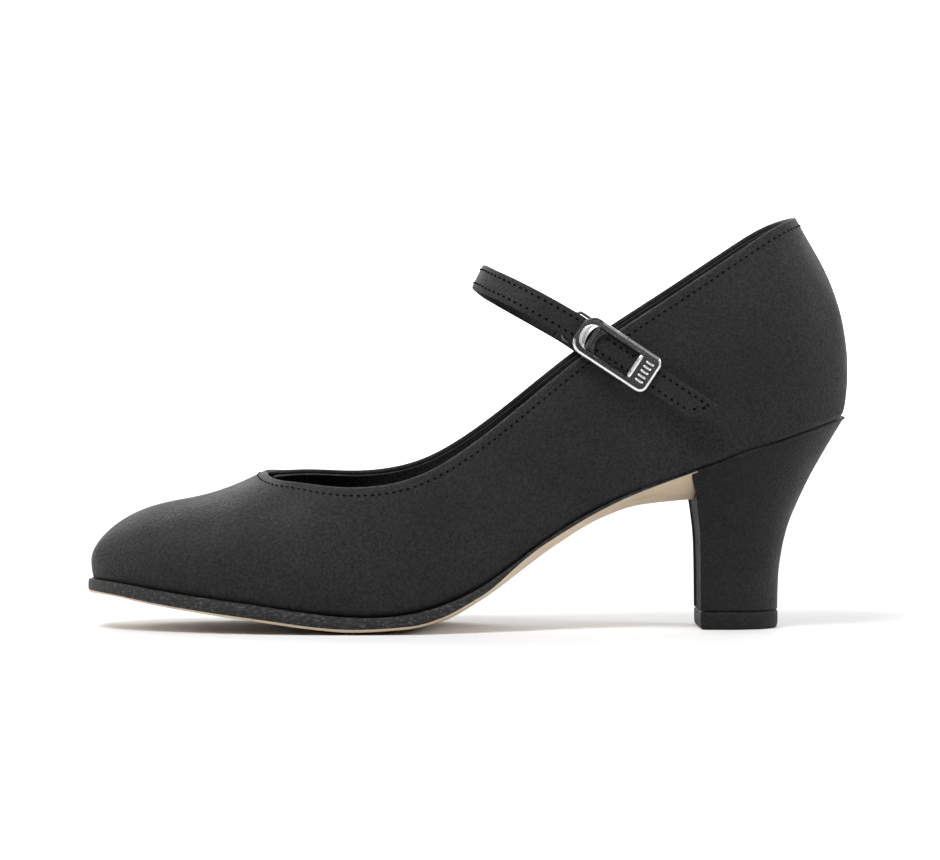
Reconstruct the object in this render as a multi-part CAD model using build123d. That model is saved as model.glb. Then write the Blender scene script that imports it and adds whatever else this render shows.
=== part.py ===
"""Left character shoe with a covered Cuban heel and a quick-release instep strap, as its separate pieces.

Millimetres. The toe points along -X, the heel is at +X, the outer (lateral) side is -Y and +Z is up.
The origin is on the floor, under the middle of the shoe's bounding box.
"""

import os
from math import atan2, cos, degrees, hypot, pi, radians, sin

from build123d import *

# Driving dimensions -------------------------------------------------------------------------------------------------

TOE_X = -120.0
BACK_X = 120.5
BALL_X = -42.0  # widest station of the forepart
SEAT_X = 88.0  # widest station of the seat
BREAST_X = 69.5  # where the heel's front face meets the sole

LEATHER = 1.3  # upper leather, and its lasting margin under the insole
INTERLINING = 0.8  # puff, counter, tape and backing, between leather and lining
LINING = 0.7
MARGIN = 12.0  # width of the lasting margin
INSOLE = 2.0
FOAM = 2.0
SOCK = 0.8
HEEL_COVER = 0.9
LIFT = 5.6  # top lift's height
STRAP_WIDTH = 8.2
STRAP_THICK = 1.9

ACROSS = 160.0  # more than the shoe's width, for cutting tools
FAR = 140.0  # beyond the toe and the heel, for cutting tools

# Side profiles, as (x, z) points of smooth curves --------------------------------------------------------------------

FEATHER = [  # where the upper meets the sole and the heel
    (-126, 16.7), (-92, 11.5), (-61, 7.6), (-34, 5.3), (-18, 6.2), (4, 14.2), (24, 28.4),
    (48, 41.8), (BREAST_X, 50.2), (100, 60.6), (128, 69.9),
]
TREAD = [  # underside of the sole along its middle
    (-126, 11.9), (-82, 4.4), (-58, 1.6), (-44, 0.4), (-31, 0.0), (-19, 0.5), (-8, 2.6), (4, 8.9),
    (29, 26.9), (42, 34.6), (54, 38.7), (74, 40.9),
]
SOLE_EDGE = [  # height of the sole's painted edge
    (-126, 4.0), (-92, 4.8), (-60, 4.9), (-30, 4.4), (-8, 4.3), (4, 3.3), (18, 1.6), (40, 1.2), (74, 1.4),
]
TOPLINE = [  # edge of the foot opening, halfway between the sides
    (-65.5, 50.2), (-62, 49.0), (-54, 48.2), (-40, 47.0), (-28, 47.3), (-15, 50.4), (-2, 57.4), (17, 71.8),
    (36, 86.9), (61, 103.6), (86, 120.2), (100, 128.2), (107, 130.5),
]
TOPLINE_TILT = 0.07  # rise of the opening's edge towards the inner side, per mm across
CROWN = [  # top of the last: the vamp's ridge, the instep, and the curve of the back
    (-119.9, 22.4), (-119.3, 24.2), (-118, 26.6), (-115.5, 29.6), (-111, 33.4), (-104, 37.2), (-94, 40.2),
    (-82, 42.6), (-65.5, 49.4), (-52, 56), (-36, 65), (-20, 76), (-4, 88), (12, 102), (28, 117), (44, 131),
    (60, 142), (76, 149), (90, 148), (99, 139), (104, 129.6), (109.2, 121.4), (114, 111.9), (117.5, 102.3),
    (119.7, 92.8), (120.4, 86.5),
]
KEEL = [  # bottom of the last, below the feather except at the two ends
    (-119.9, 19.9), (-119.3, 17.6), (-118, 14.0), (-115.5, 11.0), (-104, 9.2), (-61, 3.6), (-34, 1.3),
    (-18, 2.2), (4, 10.2), (24, 24.4), (48, 37.8), (BREAST_X, 46.2), (100, 56.6), (112, 60.6), (116.4, 63.2),
    (118.7, 69.3), (119.9, 74.4), (120.4, 79.5),
]

# Plan: half-widths and centre line, as (x, y) points ------------------------------------------------------------------

UPPER_WAIST = [(BALL_X, 37.6), (-20, 35.6), (-2, 32.6), (16, 29.8), (36, 27.6), (60, 26.3), (SEAT_X, 26.0)]
SOLE_WAIST = [(BALL_X, 38.6), (-22, 36.2), (-6, 31.6), (10, 26.0), (30, 21.8), (50, 20.6), (74, 22.0)]
FEATHER_SHARE = [(-120, 0.92), (BALL_X, 0.965), (-15, 0.93), (10, 0.82), (40, 0.76), (64, 0.86), (84, 0.95), (121, 0.95)]
CENTRE = [(-120, 4.5), (-100, 3.2), (-70, 1.4), (-42, 0.2), (-18, -1.6), (12, -3.0), (45, -1.6), (75, 0), (121, 0)]
WIDEST_ABOVE = [(-120, 6.0), (-90, 8), (-42, 9), (0, 15), (50, 19), (121, 19)]  # over the feather
STATIONS = [-119.9, -118.9, -116, -109, -98, -82, -62, -40, -18, 4, 26, 50, 76, 94, 106, 114, 118.2, 120.2]


def smooth(points):
    """A function through the points, with the slope at each one set by its neighbours and no overshoot."""
    xs = [p[0] for p in points]
    ys = [p[1] for p in points]
    chords = [(ys[i + 1] - ys[i]) / (xs[i + 1] - xs[i]) for i in range(len(xs) - 1)]
    slopes = [chords[0]]
    for left, right in zip(chords, chords[1:]):
        slopes.append(2 * left * right / (left + right) if left * right > 0 else 0.0)
    slopes.append(chords[-1])

    def value(x):
        i = max(0, min(len(xs) - 2, sum(x >= k for k in xs) - 1))
        h = xs[i + 1] - xs[i]
        t = (x - xs[i]) / h
        a = (1 + 2 * t) * (1 - t) ** 2 * ys[i] + t * (1 - t) ** 2 * h * slopes[i]
        b = t * t * (3 - 2 * t) * ys[i + 1] + t * t * (t - 1) * h * slopes[i + 1]
        return a + b

    return value


feather_z = smooth(FEATHER)
tread_z = smooth(TREAD)
edge_height = smooth(SOLE_EDGE)
topline_z = smooth(TOPLINE)
crown_z = smooth(CROWN)
keel_z = smooth(KEEL)
centre_y = smooth(CENTRE)
feather_share = smooth(FEATHER_SHARE)
widest_above = smooth(WIDEST_ABOVE)
upper_waist = smooth(UPPER_WAIST)
sole_waist = smooth(SOLE_WAIST)


def cap(t, power):
    """Height of a superellipse of radius 1 at t."""
    return max(1e-6, 1 - min(abs(t), 0.99999) ** power) ** (1 / power)


def half_width(x, inset):
    """Half the last's greatest width at x, moved in by inset."""
    if x < BALL_X:
        return (upper_waist(BALL_X) - inset) * cap((BALL_X - x) / (BALL_X - TOE_X - inset), 2.1)
    if x > SEAT_X:
        return (upper_waist(SEAT_X) - inset) * cap((x - SEAT_X) / (BACK_X - SEAT_X - inset), 2.2)
    return upper_waist(x) - inset


def inset_station(x, inset):
    """Where the section at x goes on the last moved in by inset: the ends shrink towards the ball and the seat."""
    if x < BALL_X:
        return BALL_X - (BALL_X - x) * (BALL_X - TOE_X - inset) / (BALL_X - TOE_X)
    if x > SEAT_X:
        return SEAT_X + (x - SEAT_X) * (BACK_X - SEAT_X - inset) / (BACK_X - SEAT_X)
    return x


def upright_share(x):
    """How far the last's ridge and keel face up or down at x, from near 0 at the tips to 1 along the body."""
    reach = min(x - TOE_X, BACK_X - x) / 24
    return 1.0 if reach >= 1 else max(0.15, (1 - (1 - reach) ** 2) ** 0.5)


def last_section(x, inset):
    """The last's outline at station x as (y, z) points, from the bottom of the outer side over the crown."""
    place = inset_station(x, inset)
    face = inset * upright_share(x)
    half = half_width(place, inset)
    middle = centre_y(x)
    top = crown_z(x) - face
    low = keel_z(x) + face
    widest = min(max(feather_z(x) + widest_above(x), low + 0.45 * (top - low)), low + 0.6 * (top - low))
    narrowing = half * (1 - feather_share(x)) / max(widest - feather_z(x), 1.0) ** 2
    side = []
    for share in (0.0, 1.0):
        z = low + share * (widest - low)
        side.append((half - narrowing * (widest - z) ** 2, z))
    for angle in (30, 60):
        a = radians(angle)
        side.append((half * cos(a), widest + (top - widest) * sin(a)))
    points = [(middle - y, z) for y, z in side]
    points.append((middle, top))
    points += [(middle + y, z) for y, z in reversed(side)]
    return place, points


def last(inset):
    """The solid inside a surface parallel to the shoe's outside, inset from it."""
    wires = []
    for x in STATIONS:
        place, points = last_section(x, inset)
        over = Spline(*[(place, y, z) for y, z in points])
        wires.append(Wire([over, Line(over @ 1, over @ 0)]))
    return Solid.make_loft(wires)


def side_region(points, rise, bottom):
    """Everything below (bottom=True) or above a side profile raised by rise, right across the shoe."""
    curve = Spline(*[(x, -ACROSS / 2, z + rise) for x, z in points])
    level = -60 if bottom else 220
    start, end = curve @ 0, curve @ 1
    rim = Polyline(end, (FAR, -ACROSS / 2, end.Z), (FAR, -ACROSS / 2, level), (-FAR, -ACROSS / 2, level),
                   (-FAR, -ACROSS / 2, start.Z), start)
    return Solid.extrude(Face(Wire([curve, *rim.edges()])), Vector(0, ACROSS, 0))


def opening_region(drop):
    """Everything above the topline lowered by drop, behind the throat."""
    shift = -ACROSS / 2 * TOPLINE_TILT - drop
    curve = Spline(*[(x, -ACROSS / 2, z + shift) for x, z in TOPLINE])
    start, end = curve @ 0, curve @ 1
    rim = Polyline(end, (FAR, -ACROSS / 2, end.Z + 6), (FAR, -ACROSS / 2, 220), (start.X, -ACROSS / 2, 220), start)
    return Solid.extrude(Face(Wire([curve, *rim.edges()])), Vector(0, ACROSS, ACROSS * TOPLINE_TILT))


def slice_x(low, high, y_low=-ACROSS / 2, y_high=ACROSS / 2):
    """A tall block between two stations, for cutting shells into their pieces."""
    return Pos((low + high) / 2, (y_low + y_high) / 2, 80) * Box(high - low, y_high - y_low, 300)

def layer(points, low, high):
    """A sheet across the shoe between two heights over a side profile."""
    under = Spline(*[(x, -ACROSS / 2, z + low) for x, z in points])
    over = Spline(*[(x, -ACROSS / 2, z + high) for x, z in points])
    ends = [Line(under @ 1, over @ 1), Line(over @ 0, under @ 0)]
    return Solid.extrude(Face(Wire([under, ends[0], over, ends[1]])), Vector(0, ACROSS, 0))


def less(shape, cutters):
    """The shape with each solid of the cutters taken out of it."""
    for cutter in cutters.solids():
        shape = shape - cutter
    return shape


def only(shape, node):
    """One node's solids, with specks from the cuts dropped."""
    pieces = sorted(shape.solids(), key=lambda s: s.volume, reverse=True)
    pieces = [s for s in pieces if s.volume > 0.5]
    print(node, len(pieces), round(sum(s.volume for s in pieces)))
    return pieces


# Upper, its backing and its lining -------------------------------------------------------------------------------------


def margin_hole():
    """The space inside the lasting margin, as a tall prism over the insole's outline."""
    def edge(x, side):
        return (x, centre_y(x) + side * (half_width(x, 0) * feather_share(x) - MARGIN), -30)

    stations = (-100, -80, -60, BALL_X, -20, 0, 20, 40, 60, 80, 98)
    inner = [edge(x, 1) for x in stations]
    outer = [edge(x, -1) for x in reversed(stations)]
    outline = Spline(*inner, (106, 0, -30), *outer, (-107, centre_y(-107), -30), periodic=True)
    return Solid.extrude(Face(Wire([outline])), Vector(0, 0, 160))


def shell(outer, inner, foot, drop):
    """A sheet of the upper between two insets, from the foot height over the feather to under the topline."""
    sheet = outer - inner - side_region(FEATHER, foot, True)
    return sheet - opening_region(drop)


def upper_parts(lasts, hole):
    """The outside leather, the stiffening between it and the lining, and the lining."""
    outside, backing, lined, cavity = lasts
    leather = (outside - (backing - side_region(FEATHER, LEATHER, True))
               - side_region(FEATHER, 0, True) - opening_region(0) - (hole & layer(FEATHER, -1, LEATHER)))
    middle = shell(backing, lined, LEATHER, 0)
    band = opening_region(7)
    lower = middle - band
    inside = shell(lined, cavity, LEATHER, 0.8)
    return {
        "upper": leather,
        "folded_edge": middle & band,
        "toe_puff": lower & slice_x(-130, -88),
        "upper_interlining": lower & slice_x(-88, 72),
        "heel_counter": lower & slice_x(72, 130),
        "vamp_lining": inside & slice_x(-130, -52),
        "quarter_lining_lateral": inside & slice_x(-52, 86, -ACROSS / 2, 0),
        "quarter_lining_medial": inside & slice_x(-52, 86, 0, ACROSS / 2),
        "heel_grip": inside & slice_x(86, 130),
    }


# Bottom ---------------------------------------------------------------------------------------------------------------


def sole_section(x, inset, rise):
    """Wire of the sole's cross-section at x: domed underside, upright edges, flat top above the feather."""
    reach = (BALL_X - x) / (BALL_X - TOE_X + 1.2)
    half = sole_waist(BALL_X) * cap(reach, 2.1) if x < BALL_X else sole_waist(x)
    half -= inset
    middle, top = centre_y(x), feather_z(x) + 3
    low, edge = tread_z(x) + rise, feather_z(x) - edge_height(x) + rise
    low = min(low, edge - 0.05)
    shares = ((-1, 0), (-0.8, 0.42), (-0.45, 0.85), (0, 1), (0.45, 0.85), (0.8, 0.42), (1, 0))
    dome = Spline(*[(x, middle + s * half, edge - k * (edge - low)) for s, k in shares])
    sides = Polyline(dome @ 1, (x, middle + half, top), (x, middle - half, top), dome @ 0)
    return Wire([dome, *sides.edges()])


def sole_parts(heel):
    """The leather sole, and the filler that domes it under the waist."""
    stations = (-121.0, -120.4, -119, -116, -111, -104, -94, -82, -68, -54, BALL_X, -30, -18, -6, 6, 18, 30, 42, 56, 74)
    whole = Solid.make_loft([sole_section(x, 0, 0) for x in stations])
    raised = Solid.make_loft([sole_section(x, 6, 3.4) for x in (-14, -2, 10, 22, 34, 46, 56, 66)])
    above = side_region(FEATHER, 0, False)
    return {"outsole": whole - raised - above - heel, "waist_filler": raised - above}


def heel_wire(z, inset):
    """The heel's outline at height z: a straight front, full sides and a round back."""
    front, back = heel_front(z), heel_back(z) - inset
    half, corner = heel_half(z) - inset, heel_corner(z) - inset
    length = back - front
    shares = ((0.3, 1.0), (0.58, 0.93), (0.8, 0.72), (0.94, 0.4))
    side = [(front, corner)] + [(front + s * length, k * half) for s, k in shares]
    outline = [(x, -y, z) for x, y in side] + [(back, 0, z)] + [(x, y, z) for x, y in reversed(side)]
    curve = Spline(*outline)
    return Wire([curve, Line(curve @ 1, curve @ 0)])


heel_front = smooth([(0, 73.2), (25, 73.0), (40, 71.7), (50, 69.6), (62, 67.8), (80, 65.5)])
heel_back = smooth([(0, 98.3), (16, 98.7), (24, 99.7), (32, 101.6), (40, 104.4), (48, 108.2), (57, 113.4),
                    (66, 119.0), (80, 127.4)])
heel_half = smooth([(0, 14.1), (16, 14.6), (24, 15.4), (32, 16.9), (40, 19.3), (48, 22.0), (57, 24.6),
                    (66, 26.2), (80, 27.0)])
heel_corner = smooth([(0, 13.2), (16, 13.7), (24, 14.4), (32, 15.6), (40, 17.8), (50, 21.4), (62, 23.5), (80, 25)])


def heel_solid(inset, heights=(LIFT, 13, 21, 29, 37, 45, 53, 61, 69, 78)):
    return Solid.make_loft([heel_wire(z, inset) for z in heights])


def heel_parts(whole):
    """The heel's core, the leather over its sides and back, the strip over its front, and the top lift."""
    core = heel_solid(HEEL_COVER)
    above = side_region(FEATHER, 0, False)
    heights = (-10, 12, 25, 40, 50, 62, 79)
    face = Spline(*[(heel_front(z) + HEEL_COVER, -ACROSS / 2, z) for z in heights])
    rim = Polyline(face @ 1, (40, -ACROSS / 2, 79), (40, -ACROSS / 2, -10), face @ 0)
    front = Solid.extrude(Face(Wire([face, *rim.edges()])), Vector(0, ACROSS, 0))
    lift = Solid.extrude(Face(heel_wire(LIFT, 0)), Vector(0, 0, -LIFT))
    lift = lift.fillet(1.2, lift.faces().sort_by(Axis.Z)[0].edges())
    return {
        "heel_block": core - front - above,
        "heel_cover": whole - core - front - above,
        "heel_breast_cover": (whole & front) - above,
        "top_lift": lift,
    }


SEAT_SLOPE = degrees(atan2(feather_z(96) - feather_z(76), 20))


def on_board(x, y):
    """A place on top of the insole board, with its Z along the board's normal under the heel."""
    return Pos(x, y, feather_z(x) + LEATHER + INSOLE) * Rot(0, -SEAT_SLOPE, 0)


def fixings():
    """Screw and nails from the insole into the heel, and the pins that hold the top lift."""
    screw = on_board(84, 0) * (Pos(0, 0, -13.5) * Cylinder(2, 29) + Pos(0, 0, 0.3) * Cylinder(4.2, 1.6))
    nails = [on_board(x, y) * (Pos(0, 0, -8.2) * Cylinder(0.8, 16)) for x in (77, 96) for y in (-10, 10)]
    pins = [Pos(x, 0, 10.6) * Cylinder(1.2, 15) for x in (80, 91)]
    return {"heel_screw": screw, "heel_nails": Compound(children=nails), "top_lift_pins": Compound(children=pins)}


def bottom_parts(cavity, hole):
    """What lies over the sole inside the shoe, from the shank and filler up to the sock."""
    board = cavity & layer(FEATHER, LEATHER, LEATHER + INSOLE)
    foam = cavity & layer(FEATHER, LEATHER + INSOLE, LEATHER + INSOLE + FOAM)
    sock = cavity & layer(FEATHER, LEATHER + INSOLE + FOAM, LEATHER + INSOLE + FOAM + SOCK)
    filler = hole & layer(FEATHER, 0, LEATHER)
    shank = filler & (Pos(38, centre_y(38), 40) * Box(92, 11, 160))
    rivets = [layer(FEATHER, 0, LEATHER + INSOLE) & (Pos(x, centre_y(38), 40) * Cylinder(1.6, 160)) for x in (-2, 60)]
    rivets = Compound(children=[s for r in rivets for s in r.solids()])
    return {"insole_board": less(board, rivets), "foam_insole": foam, "sock": sock, "bottom_filler": filler - shank,
            "shank": less(shank, rivets), "shank_rivets": rivets}


# Strap: drawn in the plane of its loop, with u forward and up along it, v outwards, and its width across ---------------

LEG_ANGLE = 33.4  # slope of the strap's sides
LEG_SPREAD = 1.0  # how far the outer side turns out towards its tail
LOOP = Plane(origin=(46.2, 0, 85.5), x_dir=(-cos(radians(LEG_ANGLE)), 0, sin(radians(LEG_ANGLE))),
             z_dir=(sin(radians(LEG_ANGLE)), 0, cos(radians(LEG_ANGLE))))
PIVOT_U, PIVOT_V = 12.6, -20.6
BEND_U, BEND_R = 23.7, 25.95
TAIL_LONG, TAIL_SHORT = -35.7, -29.5
GAP = 0.15  # between the strap and the buckle that slides on it
HALF = STRAP_THICK / 2


def ribbon(low, high, start_u, end_u):
    """A band along the strap's path between two distances outside its middle, as wide as the strap."""
    turn = radians(180 - LEG_SPREAD)
    middle = (BEND_U, PIVOT_V + BEND_R)

    def around(angle, gap):
        return (middle[0] + (BEND_R + gap) * sin(angle), middle[1] - (BEND_R + gap) * cos(angle))

    def side(gap):
        bend = ThreePointArc(around(0, gap), around(turn / 2, gap), around(turn, gap))
        x, y = around(turn, gap)
        tail = (end_u, y + (x - end_u) * sin(radians(LEG_SPREAD)) / cos(radians(LEG_SPREAD)))
        return [Line((start_u, PIVOT_V - gap), around(0, gap)), bend, Line((x, y), tail)]

    inner, outer = side(low), side(high)
    ends = [Line(inner[0] @ 0, outer[0] @ 0), Line(inner[2] @ 1, outer[2] @ 1)]
    face = Face(Wire([*inner, *outer, *ends]))
    return extrude(face, STRAP_WIDTH / 2, both=True)


def strap_parts(cavity):
    """The strap in two plies, the root it folds from inside the quarter, and the elastic that holds its buckle."""
    band = ribbon(-HALF, HALF, PIVOT_U, TAIL_LONG - 2)
    band += Pos(PIVOT_U, PIVOT_V, 0) * Cylinder(HALF, STRAP_WIDTH)
    w = STRAP_WIDTH / 2
    cut = Polyline((TAIL_SHORT, -w), (TAIL_LONG, w), (TAIL_LONG, 9), (-50, 9), (-50, -9), (TAIL_SHORT, -9),
                   (TAIL_SHORT, -w))
    band -= Rot(90, 0, 0) * extrude(Face(Wire(cut.edges())), 60, both=True)
    inner = ribbon(-HALF - 2, -HALF + 0.8, PIVOT_U - 5, TAIL_LONG - 9)
    root = Polyline((11.3, -19.65), (11.3, -21.55), (7, -21.9), (7, -30), (-14, -30), (-14, -20.4), (11.3, -19.65))
    root = LOOP * extrude(Face(Wire(root.edges())), w, both=True)
    return {"strap": LOOP * (band - inner), "strap_lining": LOOP * (band & inner), "strap_root": root & cavity}


# Buckle: drawn with x forward along the strap, y down across it and z outwards ----------------------------------------

BUCKLE_LONG, BUCKLE_WIDE = 25.7, 12.4
CHANNEL = HALF + GAP
BASE = 0.8
TOP = 1.5
BAIL_X, BAIL_WIRE = 17.5, 0.45
BAIL_Z = -CHANNEL - BASE - BAIL_WIRE
LEVER_X, LEVER_Z = 9.5, 1.95
LEVER_ARM = 0.9


def buckle_place():
    """The buckle's plane, on the middle of the strap's outer side."""
    spread = radians(LEG_SPREAD)
    u, v = BEND_U + BEND_R * sin(pi - spread), PIVOT_V + BEND_R - BEND_R * cos(pi - spread)
    middle_v = v + u * sin(spread) / cos(spread)
    along = LOOP.x_dir * cos(spread) - LOOP.y_dir * sin(spread)
    out = LOOP.x_dir * sin(spread) + LOOP.y_dir * cos(spread)
    return Plane(origin=LOOP.from_local_coords(Vector(0, middle_v, 0)), x_dir=along, z_dir=out)


def plate(length, width, low, high, radius):
    return Pos(0, 0, low) * extrude(RectangleRounded(length, width, radius), high - low)


def buckle_parts():
    """The buckle: a frame over the strap, a base under it, the hook for the elastic, and the clamp lever on its pin."""
    top = CHANNEL + TOP
    frame = plate(BUCKLE_LONG, BUCKLE_WIDE, -CHANNEL, top, 2.6)
    frame -= Box(60, STRAP_WIDTH + 2 * GAP, 2 * CHANNEL)
    frame -= Pos(2.1, 0, 2) * Box(17.5, 8.0, 6)
    frame = chamfer(frame.faces().sort_by(Axis.Z)[-1].outer_wire().edges(), 0.35)
    for i in range(3):
        frame += Pos(-8.3 - 1.35 * i, 0, top + 0.1) * Box(0.6, 6.4, 0.4)
    base = plate(BUCKLE_LONG - 1, BUCKLE_WIDE, -CHANNEL - BASE, -CHANNEL, 2.2)
    bail = FilletPolyline((11.0, -4.9, BAIL_Z), (BAIL_X, -4.9, BAIL_Z), (BAIL_X, 4.9, BAIL_Z), (15.0, 4.9, BAIL_Z),
                          radius=1.2)
    wire = sweep(Plane(origin=(11.0, -4.9, BAIL_Z), z_dir=(1, 0, 0)) * Circle(BAIL_WIRE), path=bail)
    tab = Pos(11.4, -4.2, BAIL_Z) * Box(2.4, 2.6, 2 * BAIL_WIRE)
    pin = Pos(LEVER_X, 0, LEVER_Z) * Rot(90, 0, 0) * Cylinder(0.45, 11.8)
    lever = Pos(LEVER_X, 0, LEVER_Z) * Rot(90, 0, 0) * Cylinder(LEVER_ARM, 7.4)
    blade = Pos(7.7, 0, 1.5) * Box(3.6, 7.4, 0.8)
    hollow = Pos(3.0, 0, 1.5) * Cylinder(5.0, 3)
    bore = Pos(LEVER_X, 0, LEVER_Z) * Rot(90, 0, 0) * Cylinder(0.55, 9)
    lever = lever + (blade - hollow) - bore
    frame -= pin
    return {"buckle_frame": frame, "buckle_base": base, "hook_bail": wire + tab, "clamp_pin": pin, "clamp_lever": lever}


def elastic_part(cavity, place):
    """The elastic loop: an eye round the buckle's hook, and a doubled band sewn inside the outer quarter."""
    eye = LOOP.to_local_coords(place.from_local_coords(Vector(BAIL_X, 0, BAIL_Z)))
    u, v = eye.X, eye.Y
    slope = atan2(24.3 - v, 9.5 - u)
    across = Vector(sin(slope), -cos(slope)) * 0.7
    back, fold = Vector(u, v), Vector(9.5, 24.3)
    outline = Polyline(back + across, fold + across, (4, 25.0), (4, 31), (-8, 31), (-8, 23.7), (8.6, 23.5),
                       fold - across, back - across, back + across)
    width = 6.0
    flat = extrude(Face(Wire(outline.edges())), width / 2, both=True) + Pos(u, v, 0) * Cylinder(1.25, width)
    flat -= Pos(u, v, 0) * Cylinder(0.55, 40)
    sewn = Pos(-22, 0, 0) * Box(60, 100, 30)
    return LOOP * (flat - sewn) + ((LOOP * (flat & sewn)) & cavity)


def build():
    lasts = [last(inset) for inset in (0, LEATHER, LEATHER + INTERLINING, LEATHER + INTERLINING + LINING)]
    cavity, hole, heel = lasts[3], margin_hole(), heel_solid(0)
    nodes = {**sole_parts(heel), **heel_parts(heel), **bottom_parts(cavity, hole), **fixings()}
    nodes.update(upper_parts(lasts, hole))
    nodes.update(strap_parts(cavity))
    place = buckle_place()
    nodes.update({name: place * shape for name, shape in buckle_parts().items()})
    nodes["elastic_loop"] = elastic_part(cavity, place)
    for name in ("upper", "bottom_filler", "insole_board", "shank", "heel_block", "foam_insole"):
        nodes[name] = less(nodes[name], nodes["heel_screw"])
        if name != "foam_insole":
            nodes[name] = less(nodes[name], nodes["heel_nails"])
    for name in ("top_lift", "heel_block"):
        nodes[name] = less(nodes[name], nodes["top_lift_pins"])
    return {name: only(shape, name) for name, shape in nodes.items()}


def main():
    os.makedirs("parts", exist_ok=True)
    nodes = build()
    boxes = [solid.bounding_box() for solids in nodes.values() for solid in solids]
    low = [min(getattr(b.min, a) for b in boxes) for a in "XYZ"]
    high = [max(getattr(b.max, a) for b in boxes) for a in "XYZ"]
    move = Pos(-(low[0] + high[0]) / 2, -(low[1] + high[1]) / 2, -low[2])
    print("move", move.position)
    for name, solids in nodes.items():
        moved = [move * solid for solid in solids]
        export_step(moved[0] if len(moved) == 1 else Compound(children=moved), f"parts/{name}.step")
    pivot = LOOP.from_local_coords(Vector(PIVOT_U, PIVOT_V, 0))
    place = buckle_place()
    lever = place.from_local_coords(Vector(LEVER_X, 0, LEVER_Z))
    print("swing at", move.position + pivot, "axis", LOOP.z_dir)
    print("buckle at", move.position + place.origin, "along", place.x_dir, "down", place.y_dir, "out", place.z_dir)
    print("lever at", move.position + lever)


main()
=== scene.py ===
import math

import bmesh
import bpy
import numpy as np
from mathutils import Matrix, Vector
from mathutils.bvhtree import BVHTree


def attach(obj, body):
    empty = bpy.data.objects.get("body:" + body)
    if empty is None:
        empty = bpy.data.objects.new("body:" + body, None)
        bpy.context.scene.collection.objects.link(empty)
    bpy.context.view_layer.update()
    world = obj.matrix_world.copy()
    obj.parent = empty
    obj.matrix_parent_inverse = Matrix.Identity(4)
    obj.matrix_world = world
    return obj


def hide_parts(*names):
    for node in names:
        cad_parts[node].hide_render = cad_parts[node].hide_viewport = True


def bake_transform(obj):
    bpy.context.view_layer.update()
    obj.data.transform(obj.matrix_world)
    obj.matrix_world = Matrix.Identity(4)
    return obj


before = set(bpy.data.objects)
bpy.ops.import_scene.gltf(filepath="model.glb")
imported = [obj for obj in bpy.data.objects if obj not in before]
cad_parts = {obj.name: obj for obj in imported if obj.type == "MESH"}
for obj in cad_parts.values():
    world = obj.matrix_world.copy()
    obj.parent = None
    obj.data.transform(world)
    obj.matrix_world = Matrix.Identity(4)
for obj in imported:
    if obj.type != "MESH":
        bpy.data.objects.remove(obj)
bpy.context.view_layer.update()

MOVE = np.array([0.4, -0.348, 0.0])  # from the drawing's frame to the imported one, in mm
MM = 0.001

# Side and plan profiles of the shoe, as drawn in the CAD (mm) -------------------------------------

TOE_X, BACK_X, BALL_X, SEAT_X = -120.0, 120.5, -42.0, 88.0
FEATHER = [(-126, 16.7), (-92, 11.5), (-61, 7.6), (-34, 5.3), (-18, 6.2), (4, 14.2), (24, 28.4),
           (48, 41.8), (69.5, 50.2), (100, 60.6), (128, 69.9)]
TREAD = [(-126, 11.9), (-82, 4.4), (-58, 1.6), (-44, 0.4), (-31, 0.0), (-19, 0.5), (-8, 2.6), (4, 8.9),
         (29, 26.9), (42, 34.6), (54, 38.7), (74, 40.9)]
SOLE_EDGE = [(-126, 4.0), (-92, 4.8), (-60, 4.9), (-30, 4.4), (-8, 4.3), (4, 3.3), (18, 1.6), (40, 1.2),
             (74, 1.4)]
TOPLINE = [(-65.5, 50.2), (-62, 49.0), (-54, 48.2), (-40, 47.0), (-28, 47.3), (-15, 50.4), (-2, 57.4),
           (17, 71.8), (36, 86.9), (61, 103.6), (86, 120.2), (100, 128.2), (107, 130.5)]
THROAT, BACK_OPEN = -65.5, 104.0  # where the topline starts and ends
TOPLINE_TILT = 0.07
CROWN = [(-119.9, 22.4), (-119.3, 24.2), (-118, 26.6), (-115.5, 29.6), (-111, 33.4), (-104, 37.2),
         (-94, 40.2), (-82, 42.6), (-65.5, 49.4), (-52, 56), (-36, 65), (-20, 76), (-4, 88), (12, 102),
         (28, 117), (44, 131), (60, 142), (76, 149), (90, 148), (99, 139), (104, 129.6), (109.2, 121.4),
         (114, 111.9), (117.5, 102.3), (119.7, 92.8), (120.4, 86.5)]
KEEL = [(-119.9, 19.9), (-119.3, 17.6), (-118, 14.0), (-115.5, 11.0), (-104, 9.2), (-61, 3.6), (-34, 1.3),
        (-18, 2.2), (4, 10.2), (24, 24.4), (48, 37.8), (69.5, 46.2), (100, 56.6), (112, 60.6), (116.4, 63.2),
        (118.7, 69.3), (119.9, 74.4), (120.4, 79.5)]
UPPER_WAIST = [(BALL_X, 37.6), (-20, 35.6), (-2, 32.6), (16, 29.8), (36, 27.6), (60, 26.3), (SEAT_X, 26.0)]
SOLE_WAIST = [(BALL_X, 38.6), (-22, 36.2), (-6, 31.6), (10, 26.0), (30, 21.8), (50, 20.6), (74, 22.0)]
FEATHER_SHARE = [(-120, 0.92), (BALL_X, 0.965), (-15, 0.93), (10, 0.82), (40, 0.76), (64, 0.86), (84, 0.95),
                 (121, 0.95)]
CENTRE = [(-120, 4.5), (-100, 3.2), (-70, 1.4), (-42, 0.2), (-18, -1.6), (12, -3.0), (45, -1.6), (75, 0),
          (121, 0)]
WIDEST_ABOVE = [(-120, 6.0), (-90, 8), (-42, 9), (0, 15), (50, 19), (121, 19)]
STATIONS = [-119.9, -118.9, -116, -109, -98, -82, -62, -40, -18, 4, 26, 50, 76, 94, 106, 114, 118.2, 120.2]


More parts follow.
